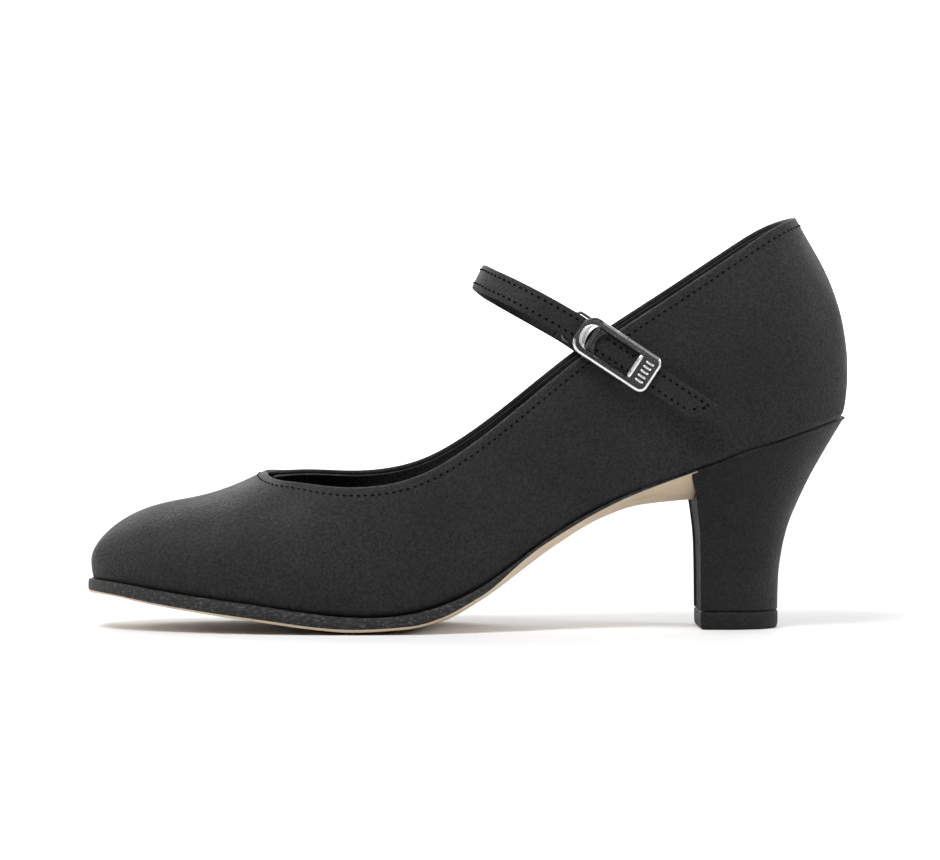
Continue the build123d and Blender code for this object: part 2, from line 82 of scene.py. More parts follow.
def smooth(points):
    """A function through the points without overshoot, the same one that the CAD uses."""
    xs = [p[0] for p in points]
    ys = [p[1] for p in points]
    chords = [(ys[i + 1] - ys[i]) / (xs[i + 1] - xs[i]) for i in range(len(xs) - 1)]
    slopes = [chords[0]]
    for left, right in zip(chords, chords[1:]):
        slopes.append(2 * left * right / (left + right) if left * right > 0 else 0.0)
    slopes.append(chords[-1])

    def value(x):
        i = max(0, min(len(xs) - 2, sum(x >= k for k in xs) - 1))
        h = xs[i + 1] - xs[i]
        t = (x - xs[i]) / h
        a = (1 + 2 * t) * (1 - t) ** 2 * ys[i] + t * (1 - t) ** 2 * h * slopes[i]
        b = t * t * (3 - 2 * t) * ys[i + 1] + t * t * (t - 1) * h * slopes[i + 1]
        return a + b

    return value


def run_lengths(points):
    """The length along a polyline at each of its points."""
    return np.r_[0, np.cumsum(np.linalg.norm(np.diff(points, axis=0), axis=1))]


def sample(at, lengths, values):
    """Every column of values, taken at some lengths along their polyline."""
    return np.stack([np.interp(at, lengths, column) for column in np.asarray(values).T], axis=1)


crown_z, keel_z, tread_z, edge_height = smooth(CROWN), smooth(KEEL), smooth(TREAD), smooth(SOLE_EDGE)
centre_y, feather_share, widest_above = smooth(CENTRE), smooth(FEATHER_SHARE), smooth(WIDEST_ABOVE)
upper_waist, sole_waist, feather_m = smooth(UPPER_WAIST), smooth(SOLE_WAIST), smooth(FEATHER)


def spline(knots, values, at):
    """Cubic spline through values at knots (natural ends), for any trailing shape of values."""
    knots, values, at = np.asarray(knots, float), np.asarray(values, float), np.asarray(at, float)
    shape = values.shape[1:]
    flat = values.reshape(len(knots), -1)
    h = np.diff(knots)
    n = len(knots)
    a = np.zeros((n, n))
    b = np.zeros((n, flat.shape[1]))
    a[0, 0] = a[-1, -1] = 1
    for i in range(1, n - 1):
        a[i, i - 1], a[i, i], a[i, i + 1] = h[i - 1], 2 * (h[i - 1] + h[i]), h[i]
        b[i] = 6 * ((flat[i + 1] - flat[i]) / h[i] - (flat[i] - flat[i - 1]) / h[i - 1])
    m = np.linalg.solve(a, b)
    i = np.clip(np.searchsorted(knots, at, side="right") - 1, 0, n - 2)
    left, right = (knots[i + 1] - at)[:, None], (at - knots[i])[:, None]
    hi = h[i][:, None]
    out = (m[i] * left ** 3 + m[i + 1] * right ** 3) / (6 * hi)
    out += (flat[i] / hi - m[i] * hi / 6) * left + (flat[i + 1] / hi - m[i + 1] * hi / 6) * right
    return out.reshape((len(at),) + shape)


def curve_of(points):
    """The spline curve of a side profile, as a function z(x), by chord length as the CAD's curves run."""
    p = np.array(points, float)
    u = run_lengths(p)
    dense = spline(u, p, np.linspace(0, u[-1], 3000))
    return lambda x: np.interp(x, dense[:, 0], dense[:, 1])


feather_z, topline_z = curve_of(FEATHER), curve_of(TOPLINE)


def cap(t, power):
    """Height of a superellipse's quarter at a share of its length."""
    return max(1e-6, 1 - min(abs(t), 0.99999) ** power) ** (1 / power)


def half_width(x, inset):
    """Half the upper's width at a station, drawn in by an inset and rounded off at both ends."""
    if x < BALL_X:
        return (upper_waist(BALL_X) - inset) * cap((BALL_X - x) / (BALL_X - TOE_X - inset), 2.1)
    if x > SEAT_X:
        return (upper_waist(SEAT_X) - inset) * cap((x - SEAT_X) / (BACK_X - SEAT_X - inset), 2.2)
    return upper_waist(x) - inset


def inset_station(x, inset):
    """Where a station moves to when the toe and the back are drawn in."""
    if x < BALL_X:
        return BALL_X - (BALL_X - x) * (BALL_X - TOE_X - inset) / (BALL_X - TOE_X)
    if x > SEAT_X:
        return SEAT_X + (x - SEAT_X) * (BACK_X - SEAT_X - inset) / (BACK_X - SEAT_X)
    return x


def last_points(x, inset):
    """The last's outline at station x, from low on the outer side over the crown, as the CAD draws it."""
    place = inset_station(x, inset)
    reach = min(x - TOE_X, BACK_X - x) / 24
    face = inset * (1.0 if reach >= 1 else max(0.15, (1 - (1 - reach) ** 2) ** 0.5))
    half, middle = half_width(place, inset), centre_y(x)
    top, low = crown_z(x) - face, keel_z(x) + face
    widest = min(max(feather_m(x) + widest_above(x), low + 0.45 * (top - low)), low + 0.6 * (top - low))
    narrowing = half * (1 - feather_share(x)) / max(widest - feather_m(x), 1.0) ** 2
    side = []
    for share in (0.0, 1.0):
        z = low + share * (widest - low)
        side.append((half - narrowing * (widest - z) ** 2, z))
    for angle in (30, 60):
        a = math.radians(angle)
        side.append((half * math.cos(a), widest + (top - widest) * math.sin(a)))
    points = [(place, middle - y, z) for y, z in side] + [(place, middle, top)]
    points += [(place, middle + y, z) for y, z in reversed(side)]
    return np.array(points)


AROUND = 361  # points round each section


class Surface:
    """A surface lofted through sections, sampled at any station."""

    def __init__(self, sections):
        self.s = []
        for p in sections:
            u = run_lengths(p)
            self.s.append(spline(u / u[-1], p, np.linspace(0, 1, AROUND)))
        self.s = np.array(self.s)
        gaps = np.linalg.norm(np.diff(self.s, axis=0), axis=2).mean(axis=1)
        self.v = np.r_[0, np.cumsum(gaps)]
        self.dense_v = np.linspace(0, self.v[-1], 4000)
        self.dense_x = spline(self.v, self.s[:, :1, 0], self.dense_v)[:, 0]

    def at(self, xs):
        v = np.interp(xs, self.dense_x, self.dense_v)
        return spline(self.v, self.s, v)


def last_surface(inset):
    return Surface([last_points(x, inset) for x in STATIONS])


def resample(curve, shares):
    """Points along a polyline at shares of its length."""
    u = run_lengths(curve)
    u /= max(u[-1], 1e-9)
    return sample(shares, u, curve)


def rising(curve, level):
    """Where a curve first rises through a level, as (index after, point), or its start if that is above."""
    above = curve[:, 2] - level
    if above[0] >= 0:
        return 1, curve[0]
    i = int(np.argmax(above >= 0))
    t = above[i - 1] / (above[i - 1] - above[i])
    return i, curve[i - 1] + t * (curve[i] - curve[i - 1])


def half_column(curve, foot, drop, shares, opened):
    """One side of a section from the foot's height up to the topline, or to the ridge where it's closed."""
    x = curve[0, 0]
    i, start = rising(curve, feather_z(x) + foot)
    part = np.vstack([start, curve[i:]])
    if opened:
        above = part[:, 2] - (topline_z(x) + TOPLINE_TILT * part[:, 1] - drop)
        if above.max() > 0:
            k = max(1, int(np.argmax(above > 0)))
            t = above[k - 1] / (above[k - 1] - above[k])
            part = np.vstack([part[:k], part[k - 1] + t * (part[k] - part[k - 1])])
    return resample(part, shares)


TOE_TIP, BACK_TIP = STATIONS[0], STATIONS[-1]
LEAST_GAP = 0.03


def columns(low, high):
    """Stations, closer together at the tips and at the throat."""
    steps = np.sin(np.linspace(-math.pi / 2, math.pi / 2, 300)) * 0.5 + 0.5
    xs = set(np.round(TOE_TIP + steps * 240.1, 4))
    near = np.linspace(0, 1, 26) ** 2 * 12
    xs |= set(np.round(THROAT + near, 4)) | set(np.round(BACK_OPEN - near[1:] * 0.8, 4))
    xs = np.array(sorted(x for x in xs if low <= x <= high))
    keep = [xs[0]]
    for x in xs[1:]:
        if x - keep[-1] > LEAST_GAP:
            keep.append(x)
    return np.array(keep)


# Mesh helpers -------------------------------------------------------------------------------------


def make(name, verts, faces, body, replaced=(), material=None, mm=True):
    """A smooth-shaded object from points in the drawing's mm, or in metres, riding on its body."""
    mesh = bpy.data.meshes.new(name)
    v = np.asarray(verts, float)
    if mm:
        v = (v + MOVE) * MM
    mesh.from_pydata([tuple(p) for p in v], [], [tuple(int(i) for i in f) for f in faces])
    mesh.validate()
    for p in mesh.polygons:
        p.use_smooth = True
    obj = bpy.data.objects.new(name, mesh)
    bpy.context.scene.collection.objects.link(obj)
    if material:
        mesh.materials.append(material)
    if body:
        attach(obj, body)
    if replaced:
        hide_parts(*replaced)
    return obj


def merge(obj, distance=0.000008):
    """Joins points that coincide, and turns all faces the same way."""
    bm = bmesh.new()
    bm.from_mesh(obj.data)
    bmesh.ops.remove_doubles(bm, verts=bm.verts, dist=distance)
    bmesh.ops.recalc_face_normals(bm, faces=bm.faces)
    bm.to_mesh(obj.data)
    bm.free()
    for p in obj.data.polygons:
        p.use_smooth = True
    return obj


def grid_faces(rows, cols, offset=0, closed=False):
    """Quads of a grid whose vertices run along its rows."""
    faces = []
    last = cols if closed else cols - 1
    for r in range(rows - 1):
        for c in range(last):
            a, b = r * cols + c, r * cols + (c + 1) % cols
            faces.append((a + offset, b + offset, b + cols + offset, a + cols + offset))
    return faces


def tube_faces(rings, cols, offset=0):
    """Quads of a tube of rings, with a face over each end."""
    last = offset + (rings - 1) * cols
    faces = grid_faces(rings, cols, offset, closed=True)
    return faces + [[offset + i for i in range(cols - 1, -1, -1)], [last + i for i in range(cols)]]


def side_sweep(path):
    """The direction square to a path in its plane, to its right."""
    tangent = unit(np.gradient(path, axis=0))
    return np.stack([tangent[:, 1], -tangent[:, 0]], axis=1)


def unit(v):
    return v / np.maximum(np.linalg.norm(v, axis=-1, keepdims=True), 1e-9)


def level(dx, dy):
    """Unit directions in the ground plane."""
    return unit(np.stack([dx, dy, 0 * dx], axis=1))


STITCH_RINGS, STITCH_SIDES = 7, 6


def stitches(name, line, normals, pitch, body, slot, thread=0.56, sink=0.0, share=0.44):
    """A row of separate stitches along a line on a surface, each dipping into the leather at its ends."""
    u = run_lengths(line)
    count = max(1, int(u[-1] / pitch))
    verts, faces = [], []
    ring = np.linspace(0, 2 * math.pi, STITCH_SIDES + 1)[:-1]
    t = np.linspace(-1, 1, STITCH_RINGS)
    lift = thread * (0.30 * (1 - t ** 4)) - sink - 0.25 * thread * t ** 6
    radius = thread / 2 * np.sqrt(np.clip(1.02 - t ** 6, 0.05, 1))
    for k in range(count):
        at = (k + 0.5 + (np.linspace(-0.5, 0.5, STITCH_RINGS) * share)) * u[-1] / count
        centre = sample(at, u, line)
        normal = sample(at, u, normals)
        normal /= np.linalg.norm(normal, axis=1)[:, None]
        tangent = np.gradient(centre, axis=0)
        tangent /= np.linalg.norm(tangent, axis=1)[:, None]
        side = np.cross(tangent, normal)
        faces += tube_faces(STITCH_RINGS, STITCH_SIDES, len(verts))
        for j in range(STITCH_RINGS):
            for a in ring:
                verts.append(centre[j] + normal[j] * (lift[j] + radius[j] * math.sin(a) * 0.8)
                             + side[j] * radius[j] * math.cos(a))
    return make(name, verts, faces, body, material=MATERIALS["thread"])


# Materials ----------------------------------------------------------------------------------------


class Nodes:
    """A short way to write a material's node tree."""

    def __init__(self, name):
        self.mat = bpy.data.materials.new(name)
        self.mat.use_nodes = True
        self.tree = self.mat.node_tree
        self.bsdf = self.tree.nodes["Principled BSDF"]
        self.coord = self.add("ShaderNodeTexCoord").outputs["Object"]

    def add(self, kind, **values):
        node = self.tree.nodes.new(kind)
        for key, value in values.items():
            if hasattr(node, key):
                setattr(node, key, value)
            else:
                node.inputs[key.replace("_", " ")].default_value = value
        return node

    def link(self, out, to):
        self.tree.links.new(out, to)

    def noise(self, scale, detail=3.0, stretch=None, rough=0.55):
        node = self.add("ShaderNodeTexNoise", Scale=scale, Detail=detail, Roughness=rough)
        self.link(self.place(stretch), node.inputs["Vector"])
        return node.outputs["Fac"]

    def cells(self, scale, feature="F1", stretch=None):
        node = self.add("ShaderNodeTexVoronoi", feature=feature, Scale=scale)
        self.link(self.place(stretch), node.inputs["Vector"])
        return node.outputs["Distance"]

    def place(self, stretch):
        if stretch is None:
            return self.coord
        node = self.add("ShaderNodeMapping")
        node.inputs["Scale"].default_value = stretch
        self.link(self.coord, node.inputs["Vector"])
        return node.outputs["Vector"]

    def ramp(self, fac, stops):
        node = self.add("ShaderNodeValToRGB")
        e = node.color_ramp.elements
        while len(e) < len(stops):
            e.new(0.5)
        for item, (at, colour) in zip(e, stops):
            item.position = at
            item.color = (*colour, 1)
        self.link(fac, node.inputs["Fac"])
        return node.outputs["Color"]

    def span(self, fac, low, high, from_low=0.3, from_high=0.7):
        node = self.add("ShaderNodeMapRange")
        for key, value in zip(("From Min", "From Max", "To Min", "To Max"), (from_low, from_high, low, high)):
            node.inputs[key].default_value = value
        self.link(fac, node.inputs["Value"])
        return node.outputs["Result"]

    def mix(self, fac, a, b, kind="MIX"):
        node = self.add("ShaderNodeMix", data_type="RGBA", blend_type=kind)
        for value, key in ((fac, 0), (a, 6), (b, 7)):
            if isinstance(value, (int, float)):
                node.inputs[key].default_value = value
            elif isinstance(value, tuple):
                node.inputs[key].default_value = (*value, 1)
            else:
                self.link(value, node.inputs[key])
        return node.outputs[2]

    def sum(self, a, b, how="ADD"):
        node = self.add("ShaderNodeMath", operation=how)
        for value, key in ((a, 0), (b, 1)):
            if isinstance(value, (int, float)):
                node.inputs[key].default_value = value
            else:
                self.link(value, node.inputs[key])
        return node.outputs[0]

    def times(self, a, b):
        return self.sum(a, b, "MULTIPLY")

    def bump(self, height, strength, distance, under=None):
        node = self.add("ShaderNodeBump", Strength=strength, Distance=distance)
        self.link(height, node.inputs["Height"])
        if under:
            self.link(under, node.inputs["Normal"])
        return node.outputs["Normal"]

    def done(self, colour=None, roughness=None, normal=None, **fixed):
        for value, key in ((colour, "Base Color"), (roughness, "Roughness"), (normal, "Normal")):
            if value is None:
                continue
            if isinstance(value, (int, float)):
                self.bsdf.inputs[key].default_value = value
            elif isinstance(value, tuple):
                self.bsdf.inputs[key].default_value = (*value, 1)
            else:
                self.link(value, self.bsdf.inputs[key])
        for key, value in fixed.items():
            self.bsdf.inputs[key.replace("_", " ")].default_value = value
        return self.mat


WHITE = (1.0, 1.0, 1.0)


def leather(name, dark, light, rough=(0.5, 0.62), grain=1250, depth=0.00034, sheen=0.0, spec=0.19):
    """Fine smooth leather: broad tone, small grain and pores, and a painted highlight along sharp edges."""
    n = Nodes(name)
    broad = n.noise(30, 4)
    fine = n.noise(grain, 4, rough=0.65)
    cells = n.cells(grain * 0.9, "SMOOTH_F1")
    tone = n.ramp(broad, [(0.30, dark), (0.70, light)])
    pores = n.ramp(fine, [(0.34, (0.30, 0.30, 0.30)), (0.64, WHITE)])
    tone = n.mix(1.0, tone, pores, "MULTIPLY")
    edge = n.add("ShaderNodeNewGeometry").outputs["Pointiness"]
    # painted highlight: colour lightened on sharp edges, standing in for the light they catch
    edge_highlight = n.span(edge, 0.0, 0.25, 0.54, 0.64)
    tone = n.mix(edge_highlight, tone, tuple(min(1, c * 2.4 + 0.01) for c in light))
    height = n.sum(n.times(fine, 0.85), n.times(cells, 0.5))
    soft = n.bump(n.noise(120, 3), 0.2, 0.0005)
    normal = n.bump(height, 0.9, depth, soft)
    shine = n.sum(n.span(n.noise(95, 4), rough[0], rough[1]), n.span(fine, 0.10, -0.06))
    return n.done(tone, shine, normal, Specular_IOR_Level=spec,
                  Sheen_Weight=sheen, Sheen_Roughness=0.45)


def sole_tan(name):
    """Natural sole leather: warm tan, faint streaks along the shoe, scuffs and pores."""
    n = Nodes(name)
    broad = n.noise(26, 5)
    streak = n.noise(420, 4, stretch=(0.12, 1, 1))
    tone = n.ramp(broad, [(0.25, (0.50, 0.38, 0.26)), (0.55, (0.62, 0.50, 0.365)),
                          (0.8, (0.70, 0.585, 0.45))])
    tone = n.mix(0.35, tone, n.ramp(streak, [(0.3, (0.72, 0.66, 0.58)), (0.7, WHITE)]), "MULTIPLY")
    scuff = n.span(n.noise(210, 6, stretch=(0.25, 1, 1)), 0.0, 0.35, 0.60, 0.72)
    tone = n.mix(scuff, tone, (0.33, 0.25, 0.17))
    height = n.sum(n.noise(1700, 3), n.times(streak, 0.7))
    return n.done(tone, n.span(n.noise(160, 3), 0.5, 0.72), n.bump(height, 0.5, 0.00006),
                  Specular_IOR_Level=0.35)


def sole_black(name):
    """Black painted edge of cut sole leather: rough fibres, tiny bright specks."""
    n = Nodes(name)
    fibre = n.noise(1250, 5, stretch=(0.5, 1, 1.3), rough=0.7)
    tone = n.ramp(fibre, [(0.40, (0.004, 0.004, 0.004)), (0.54, (0.018, 0.0175, 0.017)),
                          (0.68, (0.10, 0.097, 0.092))])
    lumps = n.noise(520, 4)
    height = n.sum(fibre, n.times(lumps, 0.9))
    return n.done(tone, n.span(fibre, 0.45, 0.8), n.bump(height, 1.0, 0.00045), Specular_IOR_Level=0.3)


def cloth(name, a, b, scale=1900, rough=0.85, sheen=0.1, spec=0.3):
    """A plain weave: two crossed sets of threads."""
    n = Nodes(name)
    waves = []
    for axis in ("X", "Z"):
        wave = n.add("ShaderNodeTexWave", wave_type="BANDS", bands_direction=axis,
                     Scale=scale / (2 * math.pi), Distortion=0.6)
        n.link(n.coord, wave.inputs["Vector"])
        waves.append(wave.outputs["Fac"])
    weave = n.sum(waves[0], waves[1], "MAXIMUM")
    tone = n.mix(n.noise(240, 4), a, b)
    tone = n.mix(0.5, tone, n.ramp(weave, [(0.2, (0.5, 0.5, 0.5)), (0.8, WHITE)]), "MULTIPLY")
    return n.done(tone, rough, n.bump(weave, 0.6, 0.0001), Sheen_Weight=sheen, Specular_IOR_Level=spec)


def metal(name, colour, rough):
    """Plated metal with fine brushing and small dents."""
    n = Nodes(name)
    brush = n.noise(2400, 3, stretch=(1, 1, 0.15))
    blotch = n.noise(900, 4)
    tone = n.mix(n.span(blotch, 0, 0.6), colour, tuple(c * 0.7 for c in colour))
    dull = n.span(n.sum(n.times(brush, 0.5), n.times(blotch, 0.5)), rough[0], rough[1])
    height = n.sum(brush, n.times(blotch, 1.5))
    return n.done(tone, dull, n.bump(height, 0.35, 0.00004), Metallic=1.0)


def plating():
    """Dark plating with a speckled, slightly pitted face."""
    n = Nodes("buckle_plating")
    speck = n.noise(2300, 4, rough=0.7)
    dark = n.ramp(speck, [(0.32, (0.030, 0.030, 0.031)), (0.58, (0.085, 0.085, 0.088)),
                          (0.72, (0.36, 0.36, 0.37))])
    return n.done(dark, n.span(speck, 0.32, 0.55), n.bump(speck, 0.6, 0.00008), Metallic=1.0)


def speckled(name, a, b, scale, rough=0.8, depth=0.0002, kind="noise", spec=0.4):
    """A grainy solid such as board, cork, foam, rubber or moulded plastic."""
    n = Nodes(name)
    grain = n.noise(scale, 5) if kind == "noise" else n.cells(scale)
    tone = n.mix(n.span(grain, 0, 1), a, b)
    shade = n.ramp(n.noise(scale / 9, 3), [(0.3, (0.75, 0.75, 0.75)), (0.7, WHITE)])
    tone = n.mix(0.3, tone, shade, "MULTIPLY")
    return n.done(tone, n.span(n.noise(scale / 3, 3), rough - 0.1, min(1, rough + 0.08)),
                  n.bump(grain, 0.7, depth), Specular_IOR_Level=spec)


# Strap and buckle places (mm): the plane of the strap's loop, and the buckle's middle on its outer leg
LEG_ANGLE, LEG_SPREAD = math.radians(33.4), math.radians(1.0)
LOOP_AT = np.array([46.2, 0, 85.5])
LOOP_U = np.array([-math.cos(LEG_ANGLE), 0, math.sin(LEG_ANGLE)])
LOOP_V = np.array([0, -1.0, 0])
LOOP_N = np.array([math.sin(LEG_ANGLE), 0, math.cos(LEG_ANGLE)])
PIVOT_U, PIVOT_V, BEND_U, BEND_R = 12.6, -20.6, 23.7, 25.95
BUCKLE_OUT = 31.72


def metres(p):
    return tuple((np.asarray(p) + MOVE) * MM)


MATERIALS = {
    "upper": leather("upper_leather", (0.016, 0.016, 0.0165), (0.026, 0.026, 0.0265)),
    "strap": leather("strap_leather", (0.017, 0.017, 0.0175), (0.027, 0.027, 0.0275), grain=1500,
                     rough=(0.5, 0.64)),
    "heel": leather("heel_leather", (0.0105, 0.0105, 0.011), (0.0165, 0.0165, 0.017), rough=(0.46, 0.58)),
    "lining": leather("lining_leather", (0.016, 0.0155, 0.015), (0.026, 0.025, 0.024), rough=(0.6, 0.75),
                      sheen=0.03),
    "suede": leather("suede", (0.016, 0.0155, 0.015), (0.034, 0.032, 0.030), rough=(0.85, 0.97),
                     grain=2600, depth=0.00030, sheen=0.12),
    "sock": leather("sock_leather", (0.026, 0.025, 0.024), (0.042, 0.040, 0.038), rough=(0.5, 0.68),
                    sheen=0.03),
    # heel front strip: heel leather darkened to near black, painted shade for a front face that the toe lamp
    # lights
    "breast": leather("breast_leather_painted_shade", (0.0045, 0.0045, 0.0045), (0.008, 0.008, 0.008), rough=(0.6, 0.7),
                      spec=0.1),
    "tan": sole_tan("sole_tan"),
    "edge": sole_black("sole_edge"),
    # thread near black and matte: black thread, made darker than the leather as painted shade for the needle
    # holes the stitches sink into
    "thread": cloth("thread", (0.0008, 0.0008, 0.0008), (0.002, 0.002, 0.002), scale=7000, rough=0.9,
                    sheen=0.0, spec=0.02),
    "elastic": cloth("elastic", (0.010, 0.010, 0.010), (0.024, 0.024, 0.024), scale=5200),
    "canvas": cloth("canvas", (0.55, 0.50, 0.42), (0.48, 0.43, 0.35)),
    "backing": cloth("backing_cloth", (0.6, 0.58, 0.52), (0.52, 0.50, 0.45)),
    "buckle": plating(),
    "gunmetal": metal("gunmetal", (0.16, 0.16, 0.165), (0.3, 0.45)),
    "bright": metal("bright_nickel", (0.93, 0.93, 0.94), (0.22, 0.38)),
    "steel": metal("plain_steel", (0.5, 0.51, 0.53), (0.3, 0.5)),
    "rubber": speckled("lift_rubber", (0.004, 0.004, 0.004), (0.018, 0.018, 0.018), 1300, 0.7, 0.00035,
                       spec=0.2),
    "plastic": speckled("heel_core", (0.012, 0.012, 0.012), (0.02, 0.02, 0.02), 900, 0.5, 0.00003,
                        spec=0.2),
    "cork": speckled("cork", (0.42, 0.28, 0.17), (0.58, 0.42, 0.28), 620, 0.85, 0.0003, "cells"),
    "board": speckled("fibre_board", (0.46, 0.38, 0.29), (0.57, 0.49, 0.39), 1500, 0.85, 0.0001),
    "foam": speckled("foam", (0.74, 0.72, 0.66), (0.82, 0.80, 0.74), 1900, 0.9, 0.0003, "cells"),
}


# Upper --------------------------------------------------------------------------------------------

ROWS = 46
SHARES = 1 - (1 - np.linspace(0, 1, ROWS)) ** 1.35  # closer together near the topline


def halves(surface, xs, foot, drop):
    """Both sides of the shoe as grids of points, [column][row], from the feather up."""
    sections = surface.at(xs)
    outer, inner = [], []
    for x, curve in zip(xs, sections):
        top = int(np.argmax(curve[:, 2]))
        opened = x > THROAT
        outer.append(half_column(curve[:top + 1], foot, drop, SHARES, opened))
        inner.append(half_column(curve[top:][::-1], foot, drop, SHARES, opened))
    return np.array(outer), np.array(inner)


def grid_normals(grid):
    return unit(np.cross(np.gradient(grid, axis=0), np.gradient(grid, axis=1)))


def open_range(outer, inner):
    """The columns whose two sides don't meet on top."""
    gap = np.linalg.norm(outer[:, -1] - inner[:, -1], axis=1)
    found = np.where(gap > 0.05)[0]
    return found[0], found[-1]


def smooth_ring(loop, normals, spread=1.6):
    """Tangents and normals along a closed line, each smoothed over a short length of it."""
    closed = np.vstack([loop, loop[:1]])
    u = run_lengths(closed)
    count = int(u[-1] / 0.2)
    s = np.linspace(0, u[-1], count + 1)[:-1]
    reach = np.arange(-30, 31)
    weights = np.exp(-0.5 * (reach * 0.2 / spread) ** 2)
    weights /= weights.sum()

    def blur(values):
        out = sum(w * np.roll(values, -k, axis=0) for w, k in zip(weights, reach))
        return sample(u[:-1], np.r_[s, u[-1]], np.vstack([out, out[:1]]))

    line = sample(s, u, closed)
    tangent = unit(np.roll(line, -1, 0) - np.roll(line, 1, 0))
    ends = np.vstack([normals, normals[:1]])
    n = unit(sample(s, u, ends))
    return unit(blur(tangent)), unit(blur(n))


TUCK_HEIGHT, TUCK_DEPTH = 1.3, 0.75  # the crease where the upper meets the sole
MARGIN = 9.0  # the lasting margin turned under it
EDGE_ROLL = 0.92
FLAP_DEPTHS = (0.8, 1.6, 2.3)
STITCH_DROP = 2.15


def upper():
    """The upper's outside, tucked in at the feather, with its top edge rolled over."""
    xs = columns(TOE_TIP, BACK_TIP)
    middles = np.array([centre_y(x) for x in xs])
    skin = last_surface(0)
    outer, inner = halves(skin, xs, 0.0, 0.0)
    verts, faces = [], []
    count = len(xs)
    for grid, flip in ((outer, False), (inner, True)):
        base = len(verts)
        above = grid[:, :, 2] - grid[:, :1, 2]
        turn = np.clip(1 - above / TUCK_HEIGHT, 0, 1)
        tuck = TUCK_DEPTH * (1 - np.sqrt(np.clip(1 - turn ** 2, 0, 1)))
        outward = np.clip(np.abs(grid[:, :, 1] - middles[:, None]) / 6, 0, 1)
        grid = grid.copy()
        grid[:, :, 1] += tuck * outward * (1 if not flip else -1)
        heelward = np.clip((xs - 100) / 16, 0, 1)[:, None] - np.clip((-100 - xs) / 16, 0, 1)[:, None]
        grid[:, :, 0] -= tuck * heelward
        margin = grid[:, 0].copy()
        reach = np.minimum(MARGIN, np.abs(margin[:, 1] - middles) - 0.05)
        margin[:, 1] += reach * (1 if not flip else -1)
        full = np.concatenate([margin[:, None], grid], axis=1)
        rows = full.shape[1]
        verts += list(full.reshape(-1, 3))
        quads = grid_faces(count, rows, base)
        faces += [q[::-1] for q in quads] if flip else quads
    rows = ROWS + 1
    for column, flip in ((0, False), (count - 1, True)):
        ring = [column * rows + r for r in range(rows)]
        ring += [count * rows + column * rows + r for r in range(rows - 2, -1, -1)]
        middle = np.mean([verts[i] for i in ring], axis=0)
        middle[0] += -0.1 if column == 0 else 0.1
        verts.append(middle)
        hub = len(verts) - 1
        for a, b in zip(ring, ring[1:] + ring[:1]):
            faces.append((a, b, hub) if flip else (b, a, hub))
    # the rolled topline: leather turned over its edge and down inside
    first, last_open = open_range(outer, inner)
    loop = list(outer[first - 1:last_open + 2, -1]) + list(inner[first:last_open + 1, -1][::-1])
    n_out = grid_normals(outer)[first - 1:last_open + 2, -3]
    n_in = -grid_normals(inner)[first:last_open + 1, -3][::-1]
    loop = np.array(loop)
    along, normal = smooth_ring(loop, np.vstack([n_out, n_in]))
    up = unit(np.cross(along, normal))
    if up[len(up) // 3, 2] < 0:
        up = -up
    rings = [loop]
    for a in np.linspace(0, math.pi, 9)[1:]:
        rings.append(loop - normal * EDGE_ROLL * (1 - math.cos(a)) + up * EDGE_ROLL * 0.9 * math.sin(a))
    for depth in FLAP_DEPTHS:
        rings.append(loop - normal * (2 * EDGE_ROLL + 0.02) - up * depth)
    base = len(verts)
    verts += list(np.array(rings).reshape(-1, 3))
    faces += grid_faces(len(rings), len(loop), base, closed=True)
    obj = merge(make("upper_leather", verts, faces, "shoe", ("upper", "folded_edge"),
                     MATERIALS["upper"]))
    return obj, loop, up


def even_line(points, step=0.25, spread=1.2):
    """A closed line resampled evenly and smoothed over a short length."""
    closed = np.vstack([points, points[:1]])
    u = run_lengths(closed)
    s = np.linspace(0, u[-1], int(u[-1] / step) + 1)[:-1]
    line = sample(s, u, closed)
    reach = np.arange(-16, 17)
    weights = np.exp(-0.5 * (reach * step / spread) ** 2)
    return sum(w * np.roll(line, -k, axis=0) for w, k in zip(weights / weights.sum(), reach))


def topline_stitches(obj, loop, up):
    """One row of stitching under the topline, laid on the leather's surface."""
    polygons = [tuple(p.vertices) for p in obj.data.polygons]
    tree = BVHTree.FromPolygons([v.co for v in obj.data.vertices], polygons)
    line = even_line(loop - up * STITCH_DROP)
    points, normals = [], []
    for p in line:
        there, face, _, _ = tree.find_nearest(Vector(metres(p)))
        found = np.array(there) / MM - MOVE
        out = np.array(face)
        if out @ (found - np.array([found[0], centre_y(found[0]), found[2] - 20])) < 0:
            out = -out
        points.append(found)
        normals.append(out)
    points, normals = even_line(np.array(points), 0.25, 0.4), np.array(normals)
    normals = normals[np.linspace(0, len(normals) - 1, len(points)).astype(int)]
    start = len(points) // 2
    stitches("topline_stitches", np.roll(points, -start, 0), np.roll(normals, -start, 0), 2.2, "shoe",
             "upper_leather", thread=0.44, sink=-0.03, share=0.5)


def linings():
    """The lining's visible faces, given their thickness by a solidify."""
    surface = last_surface(2.8)
    spans = (("vamp_lining", -116.5, -52, "both", "lining_leather", "lining"),
             ("quarter_lining_lateral", -52, 86, "outer", "lining_leather", "lining"),
             ("quarter_lining_medial", -52, 86, "inner", "lining_leather", "lining"),
             ("heel_grip", 86, 117.2, "both", "suede", "suede"))
    for name, low, high, side, slot, material in spans:
        xs = columns(low, high)
        xs = np.unique(np.r_[low, xs, high])
        outer, inner = halves(surface, xs, 5.9, 1.0)
        verts, faces = [], []
        for grid, flip, key in ((outer, False, "outer"), (inner, True, "inner")):
            if side in (key, "both"):
                quads = grid_faces(len(xs), ROWS, len(verts))
                verts += list(grid.reshape(-1, 3))
                faces += quads if flip else [q[::-1] for q in quads]
        obj = merge(make(name + "_skin", verts, faces, "shoe", (name,), MATERIALS[material]))
        solid = obj.modifiers.new("thickness", "SOLIDIFY")
        solid.thickness, solid.offset = 0.65 * MM, 1.0 if inside_out(obj) else -1.0


